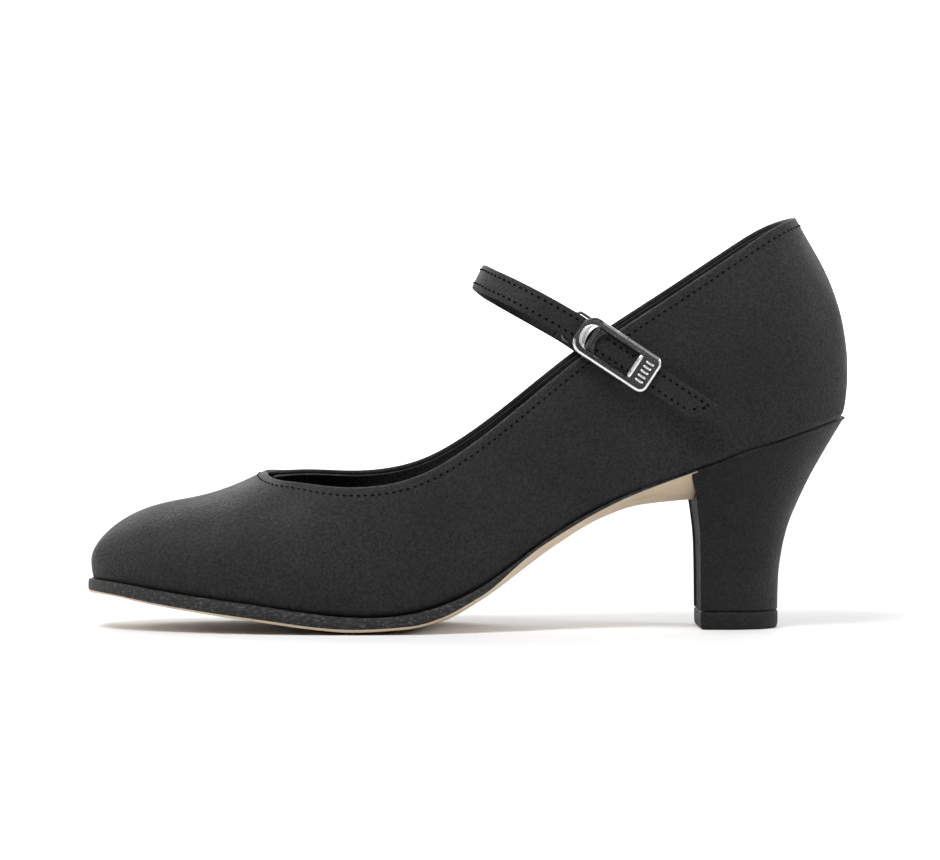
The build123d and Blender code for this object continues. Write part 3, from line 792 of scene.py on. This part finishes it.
def inside_out(obj):
    """Whether the mesh's normals point away from the shoe's long axis."""
    total = 0.0
    for p in obj.data.polygons:
        c = p.center
        total += (p.normal.y * c.y) * p.area
    return total < 0


def sock():
    """The padded insole: leather over foam, crowned a little, its edge pulled down against the lining."""
    front, back = -112, 115.6
    xs = columns(front, back)
    sections = last_surface(2.85).at(xs)
    cols = 41
    t = np.linspace(-1, 1, cols)
    upper_side, lower_side = [], []
    for x, curve in zip(xs, sections):
        level = feather_z(x) + 6.0
        top = int(np.argmax(curve[:, 2]))
        _, a = rising(curve[:top + 1], level)
        _, b = rising(curve[top:][::-1], level)
        y = (a[1] + b[1]) / 2 + t * (b[1] - a[1]) / 2
        ends = np.clip((0.99 - abs(2 * (x - front) / (back - front) - 1)) / 0.02, 0, 1)
        z = level + (0.45 * (1 - t ** 2) + 0.05) * ends - 0.9 * np.clip((np.abs(t) - 0.9) / 0.1, 0, 1) ** 2
        upper_side.append(np.stack([np.full(cols, x), y, z], axis=1))
        lower_side.append(np.stack([np.full(cols, x), y, np.full(cols, level - 2.7)], axis=1))
    grid = np.concatenate([np.array(upper_side), np.array(lower_side)[:, ::-1]], axis=1)
    faces = grid_faces(len(xs), 2 * cols, 0, closed=True)
    for row in (0, len(xs) - 1):
        base = row * 2 * cols
        under = base + 2 * cols - 1
        faces += [(base + c, base + c + 1, under - 1 - c, under - c) for c in range(cols - 1)]
    obj = merge(make("padded_sock", list(grid.reshape(-1, 3)), faces, "shoe",
                     ("sock", "foam_insole"), MATERIALS["sock"]))


# Sole ---------------------------------------------------------------------------------------------


sole_lift = smooth([(-122, -0.3), (-116, 0.4), (-107, 1.0), (-70, 1.0), (-48, 0.4), (-32, 0.0), (80, 0.0)])
bare_rim = smooth([(-122, 0.5), (-80, 0.7), (-35, 0.85), (0, 0.5), (30, 0.3), (80, 0.3)])


def sole_outline(x):
    """Half the sole's width at a station, and the heights of its lower edge and of its lowest line."""
    reach = (BALL_X - x) / (BALL_X - TOE_X + 0.9)
    half = sole_waist(BALL_X) * cap(reach, 2.1) if x < BALL_X else sole_waist(x)
    edge = feather_m(x) - edge_height(x) + sole_lift(x)
    low = min(tread_z(x) + sole_lift(x), edge - 0.05)
    return half, edge, low


SOLE_TIP = -120.85
DOME = ((-1, 0), (-0.8, 0.42), (-0.45, 0.85), (0, 1), (0.45, 0.85), (0.8, 0.42), (1, 0))
RIM = 11  # rows of the sole's upright edge, from the tan rim up and over its top


def rim_rows(half, edge, top, bare):
    """The sole's edge in section: a tan rim, then rounded black leather up to the crease at the upper."""
    tall = top - edge
    ease = min(1.25, 0.42 * tall)
    rows = [(half - 0.35, edge + 0.03), (half - 0.10, edge + 0.35 * bare), (half + 0.02, edge + bare)]
    rows += [(half + 0.06, edge + bare + 0.06), (half + 0.12, edge + 0.5 * (tall + bare) - 0.3 * ease)]
    for a in np.linspace(0, math.pi / 2, 5)[1:]:
        rows.append((half + 0.1 - ease * (1 - math.cos(a)), top - ease * (1 - math.sin(a))))
    rows += [(half - 1.9, top - 0.35), (half - 7, top - 0.6)]
    return rows


def outsole():
    """Sole leather: a domed tan underside, and a rounded black edge."""
    xs = np.unique(np.r_[SOLE_TIP, SOLE_TIP + (1 - np.cos(np.linspace(0, math.pi / 2, 90))) * 100,
                         np.linspace(-20.8, 71.4, 90)])
    dome = np.array(DOME, float)
    u = run_lengths(dome)
    dome = spline(u / u[-1], dome, np.linspace(0, 1, 61))
    grid = []
    for x in xs:
        half, edge, low = sole_outline(x)
        middle, top = centre_y(x), feather_z(x) + sole_lift(x)
        past = max(0.0, 1 - (x - SOLE_TIP) / 1.5)
        tip = 1 - math.sqrt(max(0.0, 1 - past ** 2))
        top, edge, low = top - 1.5 * tip, edge + 0.7 * tip, low + 0.7 * tip
        side = rim_rows(half, edge, top, bare_rim(x))
        bottom = [(x, middle + s * max(half - 0.7, 0.2), edge - k * (edge - low)) for s, k in dome]
        least = 0.02 * np.arange(len(side), 0, -1)
        right = [(x, middle + max(y, k), z) for (y, z), k in zip(side, least)]
        left = [(x, middle - max(y, k), z) for (y, z), k in reversed(list(zip(side, least)))]
        grid.append(left + bottom + right)
    grid = np.array(grid)
    cols = grid.shape[1]
    verts = list(grid.reshape(-1, 3))
    faces = grid_faces(len(xs), cols)
    for row in (0, len(xs) - 1):
        hub = len(verts)
        verts.append(grid[row].mean(axis=0))
        ring = [row * cols + c for c in range(cols)]
        for a, b in zip(ring, ring[1:] + ring[:1]):
            faces.append((a, b, hub) if row == 0 else (b, a, hub))
    obj = make("sole_leather", verts, faces, "shoe", ("outsole",), MATERIALS["tan"])
    obj.data.materials.append(MATERIALS["edge"])
    quads = (len(xs) - 1) * (cols - 1)
    for i, p in enumerate(obj.data.polygons):
        c = i % (cols - 1)
        black = c < RIM - 3 or c >= cols - 1 - (RIM - 3) if i < quads else p.center.x < 0
        p.material_index = 1 if black else 0
    merge(obj)


# Heel ---------------------------------------------------------------------------------------------

heel_front = smooth([(0, 73.2), (25, 73.0), (40, 71.7), (50, 69.6), (62, 67.8), (80, 65.5)])
heel_back = smooth([(0, 98.3), (16, 98.7), (24, 99.7), (32, 101.6), (40, 104.8), (48, 108.7), (57, 113.8),
                    (66, 119.2), (80, 127.4)])
heel_half = smooth([(0, 14.1), (16, 14.6), (24, 15.4), (32, 16.9), (40, 19.3), (48, 22.0), (57, 24.6),
                    (66, 26.2), (80, 27.0)])
heel_corner = smooth([(0, 13.2), (16, 13.7), (24, 14.4), (32, 15.6), (40, 17.8), (50, 21.4), (62, 23.5),
                      (80, 25)])
LIFT = 5.6  # height of the top lift
HEEL_CENTRE_X, HEEL_ROLL = 85.0, 0.85


def heel_outline(z, count=121):
    """The heel's outline at a height, from the outer front corner round the back."""
    front, back, half, corner = heel_front(z), heel_back(z), heel_half(z), heel_corner(z)
    length = back - front
    shares = ((0.3, 1.0), (0.58, 0.93), (0.8, 0.72), (0.94, 0.4))
    side = [(front, corner)] + [(front + s * length, k * half) for s, k in shares]
    points = [(x, -y, z) for x, y in side] + [(back, 0, z)] + [(x, y, z) for x, y in reversed(side)]
    p = np.array(points)
    u = run_lengths(p)
    return spline(u / u[-1], p, np.linspace(0, 1, count))


def heel():
    """Leather stretched over the heel's sides and back, and a strip let into its front."""
    table = np.array([heel_outline(z) for z in np.linspace(LIFT, 79, 160)])
    cols = table.shape[1]
    grid = []
    for t in np.linspace(0, 1, 70):
        row = []
        for c in range(cols):
            line = table[:, c]
            seat = feather_z(line[:, 0]) - line[:, 2]
            k = int(np.argmax(seat < 0))
            s = seat[k - 1] / (seat[k - 1] - seat[k])
            top = line[k - 1] + s * (line[k] - line[k - 1])
            z = LIFT + t * (top[2] - LIFT)
            row.append([np.interp(z, line[:, 2], line[:, 0]), np.interp(z, line[:, 2], line[:, 1]), z])
        grid.append(row)
    grid = np.array(grid)
    seat_row = grid[-1]
    inward = level(HEEL_CENTRE_X - seat_row[:, 0], -seat_row[:, 1])
    rolled = []
    for a in np.linspace(0.0, math.pi / 2, 6):
        sink = 0.95 - HEEL_ROLL * math.sin(a)
        rolled.append(seat_row + inward * HEEL_ROLL * (1 - math.cos(a)) - np.array([0, 0, sink]))
    rolled.append(seat_row + inward * 4.0 - np.array([0, 0, 0.35]))
    body = grid[:-1].copy()
    below = 1.0 + 0.001 * np.arange(len(body), 0, -1)[:, None]
    body[:, :, 2] = np.minimum(body[:, :, 2], seat_row[:, 2] - below)
    foot = body[0].copy()
    foot[:, 2] += 0.25
    inward = level(HEEL_CENTRE_X - foot[:, 0], -foot[:, 1])
    body = np.concatenate([(foot + inward * 1.2)[None], (foot + inward * 0.3 - [0, 0, 0.02])[None],
                           (foot + [0, 0, 0.28])[None], body[1:]], axis=0)
    full = np.concatenate([body, np.array(rolled)], axis=0)
    # turn the leather round the front corners by a small radius
    turn = ((0.75, 1.75), (0.1, 1.7), (-0.2, 1.5), (-0.28, 1.0), (-0.2, 0.45), (-0.06, 0.12))
    left = [[row[0] + np.array([dx, dy, 0]) for dx, dy in turn] for row in full]
    right = [[row[-1] + np.array([dx, -dy, 0]) for dx, dy in reversed(turn)] for row in full]
    full = np.concatenate([np.array(left), full, np.array(right)], axis=1)
    merge(make("heel_leather", list(full.reshape(-1, 3)), grid_faces(full.shape[0], full.shape[1]), "shoe",
               ("heel_cover",), MATERIALS["heel"]))
    front = []
    zs = np.linspace(LIFT + 0.1, 48.8, 60)
    wide = np.linspace(-1, 1, 31)
    for z in zs:
        x, corner = heel_front(z), heel_corner(z) - 1.55
        front += [(x + 0.15 + 0.4 * (1 - w ** 6) ** 0.5, w * corner, z) for w in wide]
    # the strip's near-black leather is painted shade for the heel's front face
    merge(make("heel_front_strip", front, grid_faces(len(zs), len(wide)), "shoe",
               ("heel_breast_cover",), MATERIALS["breast"]))


def top_lift():
    """The rubber lift: a little proud of the heel's leather, with a rounded lower edge."""
    rows = []
    profile = ((5.55, -1.6), (5.5, -0.15), (5.25, 0.06), (4.9, 0.12), (3.2, 0.16), (1.6, 0.14), (0.95, 0.05),
               (0.5, -0.12), (0.18, -0.42), (0.02, -0.85), (0.0, -3.0))
    for z, proud in profile:
        p = heel_outline(max(z, 0.01), 97)
        across = np.linspace(p[-1], p[0], 25)[1:-1]
        ring = np.vstack([p, across])
        ring[:, 2] = z
        middle = ring.mean(axis=0)
        step = np.roll(ring, -1, 0) - np.roll(ring, 1, 0)
        out = level(step[:, 1], -step[:, 0])
        if (out * (ring - middle)).sum() < 0:
            out = -out
        for _ in range(2):
            out = unit(out + np.roll(out, 1, 0) + np.roll(out, -1, 0))
        rows.append(ring + out * proud)
    grid = np.array(rows)
    merge(make("rubber_lift", list(grid.reshape(-1, 3)), tube_faces(len(grid), grid.shape[1]), "shoe",
               ("top_lift",), MATERIALS["rubber"]))


# Strap --------------------------------------------------------------------------------------------

STRAP_WIDTH, STRAP_THICK = 8.2, 1.9
TAIL_LONG, TAIL_SHORT, TAIL_FROM = -35.7, -29.5, -14
LATERAL_V = 5  # the strap's outer leg lies beyond this
DROOP, DROOP_FROM, DROOP_LENGTH = 2.3, 16.0, 30.0
BLEND_HALF, ROOT_PAST_PIVOT = 3.0, 6.0


def loop_point(u, v, n):
    """A point of the strap; its front droops a little from the plane of the buckle."""
    far = np.clip((u - DROOP_FROM) / DROOP_LENGTH, 0, 1) ** 1.3
    u = u - 0.12 * (STRAP_WIDTH / 2 - n) * far
    return LOOP_AT + LOOP_U * u + LOOP_V * v + LOOP_N * (n - DROOP * far)


def strap_path(step=0.8):
    """The strap's middle in its loop's plane: from inside the quarter, round the front, to the tail."""
    turn = math.pi - LEG_SPREAD
    middle = np.array([BEND_U, PIVOT_V + BEND_R])
    points = [(-13.5, -23.6), (-8.0, -23.4), (-4.0, -22.8), (0.0, -21.7), (4.0, -20.95),
              (8.0, PIVOT_V - 0.05), (PIVOT_U, PIVOT_V), (BEND_U - 4, PIVOT_V)]
    for a in np.linspace(0, turn, 60):
        points.append(middle + BEND_R * np.array([math.sin(a), -math.cos(a)]))
    end = points[-1]
    points.append(end + (TAIL_LONG - end[0]) * np.array([1, -math.tan(LEG_SPREAD)]))
    p = np.array(points)
    u = run_lengths(p)
    return sample(np.linspace(0, u[-1], int(u[-1] / step)), u, p)


def arc(across, out, radius, first, last, count):
    """Points of an arc, with its ends in degrees."""
    angles = [math.radians(a) for a in np.linspace(first, last, count)]
    return [(across + radius * math.cos(a), out + radius * math.sin(a)) for a in angles]


def strap_section(edge=0.42, lining_edge=0.28):
    """The strap's cross-section as (across, out) points: two plies with a fine line between them."""
    w, h = STRAP_WIDTH / 2, STRAP_THICK / 2
    face = [(y, h + 0.05 * math.cos(y / w * 1.5)) for y in np.linspace(-w + 0.9, w - 0.9, 13)]
    side = arc(w - edge, h - edge, edge, 90, -60, 6) + [(w - 0.14, -0.16)]
    side += arc(w - 0.3, -h + 0.3, lining_edge, 50, -90, 5)
    back = [(y, -h) for y in np.linspace(w - 0.9, -w + 0.9, 9)]
    return face + side + back + [(-y, z) for y, z in reversed(side)]


def strap():
    """The strap, the end of it that bends where it leaves the quarter, and its stitching."""
    path, section = strap_path(), strap_section()
    out = side_sweep(path)
    half_w = STRAP_WIDTH / 2
    verts = np.array([[*(p + o * depth), across] for p, o in zip(path, out) for across, depth in section])
    # the tail is cut aslant: long at its upper edge, short at its lower one
    lateral = verts[:, 1] > LATERAL_V
    limit = TAIL_SHORT + (TAIL_LONG - TAIL_SHORT) * (verts[:, 2] + half_w) / STRAP_WIDTH
    limit += 0.9 * np.clip(np.abs(verts[:, 2]) / half_w - 0.78, 0, 1) / 0.22
    near = np.clip((TAIL_FROM - verts[:, 0]) / (TAIL_FROM - TAIL_LONG), 0, 1)
    squeeze = TAIL_FROM + (limit - TAIL_FROM) * near
    verts[:, 0] = np.where(lateral & (verts[:, 0] < TAIL_FROM), squeeze, verts[:, 0])
    points = [loop_point(u, v, n) for u, v, n in verts]
    cols = len(section)
    joint = int(np.argmax(path[:, 0] > PIVOT_U + ROOT_PAST_PIVOT))

    def length(name, first, last, body, replaced):
        part = points[first * cols:(last + 1) * cols]
        faces = tube_faces(last + 1 - first, cols)
        return merge(make(name, part, faces, body, replaced, MATERIALS["strap"]), 0.000001)

    length("strap_leather", joint, len(path) - 1, "strap", ("strap", "strap_lining"))
    root = length("strap_root_leather", 0, joint, None, ("strap_root",))
    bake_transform(root)
    # two rows of stitching, joined across the tail
    front = np.where((path[:, 0] > PIVOT_U + BLEND_HALF) | (path[:, 1] > LATERAL_V))[0]
    run, outs = path[front], out[front]
    surface, inset = STRAP_THICK / 2 + 0.04, half_w - 1.75
    rows = []
    for name, side, stop in (("upper", 1, TAIL_LONG + 2.6), ("lower", -1, TAIL_SHORT + 2.0)):
        keep = ~((run[:, 1] > LATERAL_V) & (run[:, 0] < stop))
        line = [loop_point(*(p + o * surface), side * inset) for p, o in zip(run[keep], outs[keep])]
        normals = np.array([LOOP_U * o[0] + LOOP_V * o[1] for o in outs[keep]])
        rows.append((np.array(line), normals))
        stitches("strap_stitches_" + name, *rows[-1], 2.25, "strap", "strap_leather")
    ends = np.linspace(rows[0][0][-1], rows[1][0][-1], 20)[2:-2]
    facing = np.repeat(rows[0][1][-1:], len(ends), 0)
    stitches("strap_stitches_tail", ends, facing, 2.0, "strap", "strap_leather")


# Elastic loop -------------------------------------------------------------------------------------


ELASTIC_HALF, ELASTIC_SIDE, ELASTIC_FACE, ELASTIC_EYE = 2.9, 3.0, 0.30, 1.1
HOOK_BAR_ALONG, HOOK_BAR_IN = 17.5, 2.35  # the hook's bar from the buckle's middle, and in from the strap's


def elastic():
    """The doubled elastic: round the hook's bar, over the topline and down inside the lining."""
    turn = math.pi - LEG_SPREAD
    u0, v0 = BEND_U + BEND_R * math.sin(turn), PIVOT_V + BEND_R - BEND_R * math.cos(turn)
    along = np.array([math.cos(LEG_SPREAD), -math.sin(LEG_SPREAD)])
    outward = np.array([math.sin(LEG_SPREAD), math.cos(LEG_SPREAD)])
    leg = np.array([0, v0 + u0 * math.tan(LEG_SPREAD)])
    bar = leg + along * HOOK_BAR_ALONG - outward * HOOK_BAR_IN
    toward = unit(np.array([9.5, 24.3]) - bar)
    start = math.atan2(toward[0], -toward[1])
    angles = np.linspace(start, start - math.pi, 15)
    ring = [bar + ELASTIC_EYE * np.array([math.cos(a), math.sin(a)]) for a in angles]
    outer_leg = [(-7.5, 24.9), (2, 24.8), (7.0, 24.75), (9.4, 24.68)]
    inner_leg = [(9.6, 23.92), (7.5, 24.0), (2, 24.1), (-7.5, 24.2)]
    if np.linalg.norm(ring[0] - outer_leg[-1]) > np.linalg.norm(ring[-1] - outer_leg[-1]):
        ring = ring[::-1]
    path = np.array(outer_leg + ring + inner_leg)
    u = run_lengths(path)
    path = sample(np.linspace(0, u[-1], 110), u, path)
    out = side_sweep(path)
    across = np.linspace(-ELASTIC_HALF, ELASTIC_HALF, 25)
    section = [(y, ELASTIC_FACE + 0.03 * math.cos(y * 9)) for y in across]
    section += [(ELASTIC_SIDE, 0.12), (ELASTIC_SIDE, -0.12)] + [(y, -ELASTIC_FACE) for y in across[::-1]]
    section += [(-ELASTIC_SIDE, -0.12), (-ELASTIC_SIDE, 0.12)]
    verts = [loop_point(*(p + o * d), n) for p, o in zip(path, out) for n, d in section]
    make("elastic_band", verts, tube_faces(len(path), len(section)), "shoe", ("elastic_loop",),
         MATERIALS["elastic"])


# Buckle -------------------------------------------------------------------------------------------

BUCKLE_AT = LOOP_AT + LOOP_V * BUCKLE_OUT


def buckle_point(x, y, z):
    """A point in the buckle's own frame: x forward along the strap, y down across it, z outward."""
    c, s = math.cos(LEG_SPREAD), math.sin(LEG_SPREAD)
    along = LOOP_U * c - LOOP_V * s
    out = LOOP_V * c + LOOP_U * s
    return BUCKLE_AT + along * x - LOOP_N * y + out * z


def rounded_loop(low, high, half, corner_low, corner_high, count=192):
    """A rounded rectangle's outline as (x, y), evenly spaced by angle round its middle."""
    points = []
    for sx, sy, radius, start in ((1, 1, corner_high, 0), (-1, 1, corner_low, 90), (-1, -1, corner_low, 180),
                                  (1, -1, corner_high, 270)):
        cx = (high - radius) if sx > 0 else (low + radius)
        points += arc(cx, sy * (half - radius), radius, start, start + 90, 24)
    p = np.array(points + points[:1])
    middle = np.array([(WINDOW[0] + WINDOW[1]) / 2, 0.0])
    u = run_lengths(p)
    dense = sample(np.linspace(0, u[-1], 6000), u, p)
    angle = np.unwrap(np.arctan2(dense[:, 1], dense[:, 0] - middle[0]))
    want = np.linspace(angle[0], angle[0] + 2 * math.pi, count + 1)[:-1]
    return sample(want, angle, dense)


FRAME = (-12.85, 14.5, 6.2)  # low and high ends, half width
WINDOW = (-6.65, 12.6, 4.0)
LEAST_HEIGHT, WALL_TOP, RIM_RADIUS = 1.12, 2.2, 0.72


def inset_loop(box, by, corner_low, corner_high):
    """The rounded outline of a box, drawn in all round."""
    return rounded_loop(box[0] + by, box[1] - by, box[2] - by, max(0.2, corner_low - by),
                        max(0.2, corner_high - by))


def frame_loop(by):
    return inset_loop(FRAME, by, 2.6, 4.2)


def window_loop(by):
    return inset_loop(WINDOW, by, 0.5, 3.3)


def buckle_frame():
    """The buckle's cover: side walls folded up from under the strap, an eased rim, and a window."""
    loops, bright = [], []

    def ring(points, z, shiny):
        loops.append(np.column_stack([points, np.full(len(points), z) if np.isscalar(z) else z]))
        bright.append(shiny)

    outer = frame_loop(0)
    ends = np.clip((np.abs(outer[:, 0] - 0.8) - 9.2) / 1.6, 0, 1)
    foot = -1.05 + 2.2 * ends ** 2 * (3 - 2 * ends)
    ring(frame_loop(1.75), np.maximum(foot, LEAST_HEIGHT), False)
    ring(frame_loop(1.5), foot, False)
    ring(frame_loop(0.12), foot, False)
    ring(outer, foot + 0.12, True)
    ring(outer, np.maximum(foot + 0.15, 1.6), True)
    ring(outer, WALL_TOP, True)
    for a in (25, 50, 75, 90):
        c = math.radians(a)
        ring(frame_loop(RIM_RADIUS * (1 - math.cos(c))), WALL_TOP + 0.42 * math.sin(c), True)
    ring(frame_loop(0.95), 2.6, False)
    ring(frame_loop(1.1), 2.56, False)
    ring(window_loop(-0.9), 2.5, False)
    for a in (90, 60, 30, 0):
        c = math.radians(a)
        ring(window_loop(-0.22 * (1 - math.cos(c))), 2.28 + 0.22 * math.sin(c), False)
    ring(window_loop(0), 1.2, False)
    ring(window_loop(-0.2), LEAST_HEIGHT, False)
    loops = np.array(loops)
    order, cols = loops.shape[:2]
    verts = [buckle_point(*p) for p in loops.reshape(-1, 3)]
    faces = grid_faces(order, cols, 0, closed=True)
    last = (order - 1) * cols
    faces += [(last + c, last + (c + 1) % cols, (c + 1) % cols, c) for c in range(cols)]
    obj = make("buckle_cover", verts, faces, "buckle", ("buckle_frame",), MATERIALS["buckle"])
    obj.data.materials.append(MATERIALS["bright"])
    for i, face in enumerate(obj.data.polygons):
        r, c = divmod(i, cols)
        x = outer[c][0]
        if r + 1 < order and bright[r] and bright[r + 1] and (x < 9.5 or loops[r][c][1] > 3.0):
            face.material_index = 1
    merge(obj, 0.0000005)


def grip_ribs():
    """Five short bright ribs on the buckle's end plate."""
    verts, faces = [], []
    for y in np.linspace(-3.1, 3.1, 5):
        faces += tube_faces(11, 10, len(verts))
        for x in np.r_[-10.95, -10.85, np.linspace(-10.5, -8.6, 7), -8.25, -8.15]:
            r = 0.40 * math.sqrt(max(0.05, 1 - (abs(x + 9.55) / 1.41) ** 8))
            for a in np.linspace(0, 2 * math.pi, 11)[:-1]:
                verts.append(buckle_point(x, y + r * math.cos(a), 2.50 + r * 0.8 * math.sin(a)))
    make("grip_ribs", verts, faces, "buckle", material=MATERIALS["bright"])


CRESCENT_X, BAR_X = 9.2, -6.15


def crescent():
    """The polished crescent round the window's hinge end, cupped a little."""
    rows = []
    for a in np.linspace(-math.pi / 2, math.pi / 2, 61):
        c, y = max(0.0, math.cos(a)), math.sin(a)
        outer_edge = np.array([CRESCENT_X + 4.3 * c ** 0.85, 4.15 * y])
        inner_edge = np.array([CRESCENT_X + 1.9 * c, 4.1 * y])
        row = []
        for t in np.linspace(0, 1, 9):
            x, yy = outer_edge + (inner_edge - outer_edge) * t
            row.append((x, yy, 2.66 + 0.26 * t ** 2 - 0.20 * math.sin(math.pi * t) - 0.12 * (t < 0.01)))
        row += [(row[-1][0] + 0.05, row[-1][1], 2.35), (row[0][0] - 0.3 * c, row[0][1], 2.1)]
        rows.append(row)
    rows = np.array(rows)
    verts = [buckle_point(*p) for p in rows.reshape(-1, 3)]
    faces = grid_faces(len(rows), rows.shape[1], 0, closed=True)
    merge(make("window_crescent", verts, faces, "buckle", material=MATERIALS["bright"]))


def cross_bar():
    """The rounded bar at the window's strap end, that the strap's tail bears on."""
    rows = []
    for y in np.r_[-3.95, -3.85, np.linspace(-3.6, 3.6, 13), 3.85, 3.95]:
        r = 0.74 * math.sqrt(max(0.05, 1 - (abs(y) / 3.98) ** 14))
        rows.append([(BAR_X + r * math.cos(a), y, 2.05 + r * 0.9 * math.sin(a))
                     for a in np.linspace(0, 2 * math.pi, 15)[:-1]])
    rows = np.array(rows)
    verts = [buckle_point(*p) for p in rows.reshape(-1, 3)]
    make("window_bar", verts, tube_faces(len(rows), rows.shape[1]), "buckle",
         material=MATERIALS["bright"])


# CAD nodes that stay ------------------------------------------------------------------------------

KEPT = {
    "heel_block": "plastic", "top_lift_pins": "steel", "heel_screw": "steel",
    "heel_nails": "steel", "shank": "steel", "shank_rivets": "steel", "insole_board": "board",
    "bottom_filler": "cork", "waist_filler": "cork", "toe_puff": "canvas",
    "upper_interlining": "backing", "heel_counter": "canvas", "buckle_base": "gunmetal",
    "hook_bail": "gunmetal", "clamp_pin": "buckle", "clamp_lever": "buckle",
}


def dress_nodes():
    """Materials for the CAD's own nodes, and eased edges on the two that show."""
    for name, material in KEPT.items():
        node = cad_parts[name]
        node.data.materials.clear()
        node.data.materials.append(MATERIALS[material])
        if name in ("buckle_base", "clamp_lever"):
            bevel = node.modifiers.new("eased_edges", "BEVEL")
            bevel.width, bevel.segments = 0.18 * MM, 2
            bevel.limit_method, bevel.angle_limit = "ANGLE", math.radians(35)


# Setting ------------------------------------------------------------------------------------------


def studio():
    """A pale floor and lit backdrop, with soft lights over the toe and the heel."""
    n = Nodes("pale_floor")
    n.done(n.mix(n.noise(3, 2), (0.69, 0.69, 0.69), (0.72, 0.72, 0.72)), 0.7, Specular_IOR_Level=0.1)
    near, far, side = -4, 2.2, 4
    corners = [(-side, near, 0), (side, near, 0), (side, far, 0), (-side, far, 0)]
    make("floor", corners, [(0, 1, 2, 3)], None, material=n.mat, mm=False)
    n = Nodes("lit_backdrop")
    n.done((0.9, 0.9, 0.9), 0.8, Emission_Color=(1, 1, 1, 1), Emission_Strength=0.85)
    corners = [(-side, far, -0.2), (side, far, -0.2), (side, far, 3), (-side, far, 3)]
    make("backdrop", corners, [(0, 1, 2, 3)], None, material=n.mat, mm=False)
    world = bpy.data.worlds.new("studio")
    bpy.context.scene.world = world
    world.use_nodes = True
    world.node_tree.nodes["Background"].inputs["Color"].default_value = (1, 1, 1, 1)
    world.node_tree.nodes["Background"].inputs["Strength"].default_value = 0.11

    lights = (("overhead", (0, 0.5, 1.7), (0, 0.1, 0), (2.6, 2.0), 4),
              ("key", (-0.3, -0.6, 1.05), (-0.03, 0, 0.05), (0.45, 0.45), 15),
              ("far_floor", (0, 1.5, 1.3), (0, 1.5, 0), (4.0, 1.3), 40),
              ("toe_side", (-1.0, 0.0, 0.5), (-0.1, 0, 0.04), (0.4, 0.4), 3.5),
              ("heel_side", (1.0, -0.2, 0.5), (0.1, 0, 0.09), (0.35, 0.35), 6),
              ("front", (0.10, -1.5, 0.20), (0.03, 0, 0.07), (0.8, 0.5), 0.7))
    for name, at, aim, size, watts in lights:
        light = bpy.data.lights.new(name, "AREA")
        light.shape, light.size, light.size_y, light.energy = "RECTANGLE", size[0], size[1], watts
        obj = bpy.data.objects.new(name, light)
        bpy.context.scene.collection.objects.link(obj)
        obj.location = at
        obj.rotation_euler = (Vector(aim) - Vector(at)).to_track_quat("-Z", "Y").to_euler()
    camera = bpy.data.cameras.new("camera")
    obj = bpy.data.objects.new("camera", camera)
    bpy.context.scene.collection.objects.link(obj)
    sensor, distance, view_width = 36, 0.9, 0.29892
    camera.sensor_width = sensor
    camera.lens = sensor * distance / view_width
    camera.clip_start = 0.05
    obj.location = (0.0012, -distance, 0.0626)
    obj.rotation_euler = (math.pi / 2, 0, 0)
    bpy.context.scene.camera = obj
    view = bpy.context.scene.view_settings
    view.view_transform = "Standard"
    view.look = "None"


studio()
topline_stitches(*upper())
linings()
sock()
outsole()
heel()
top_lift()
strap()
elastic()
buckle_frame()
grip_ribs()
crescent()
cross_bar()
dress_nodes()
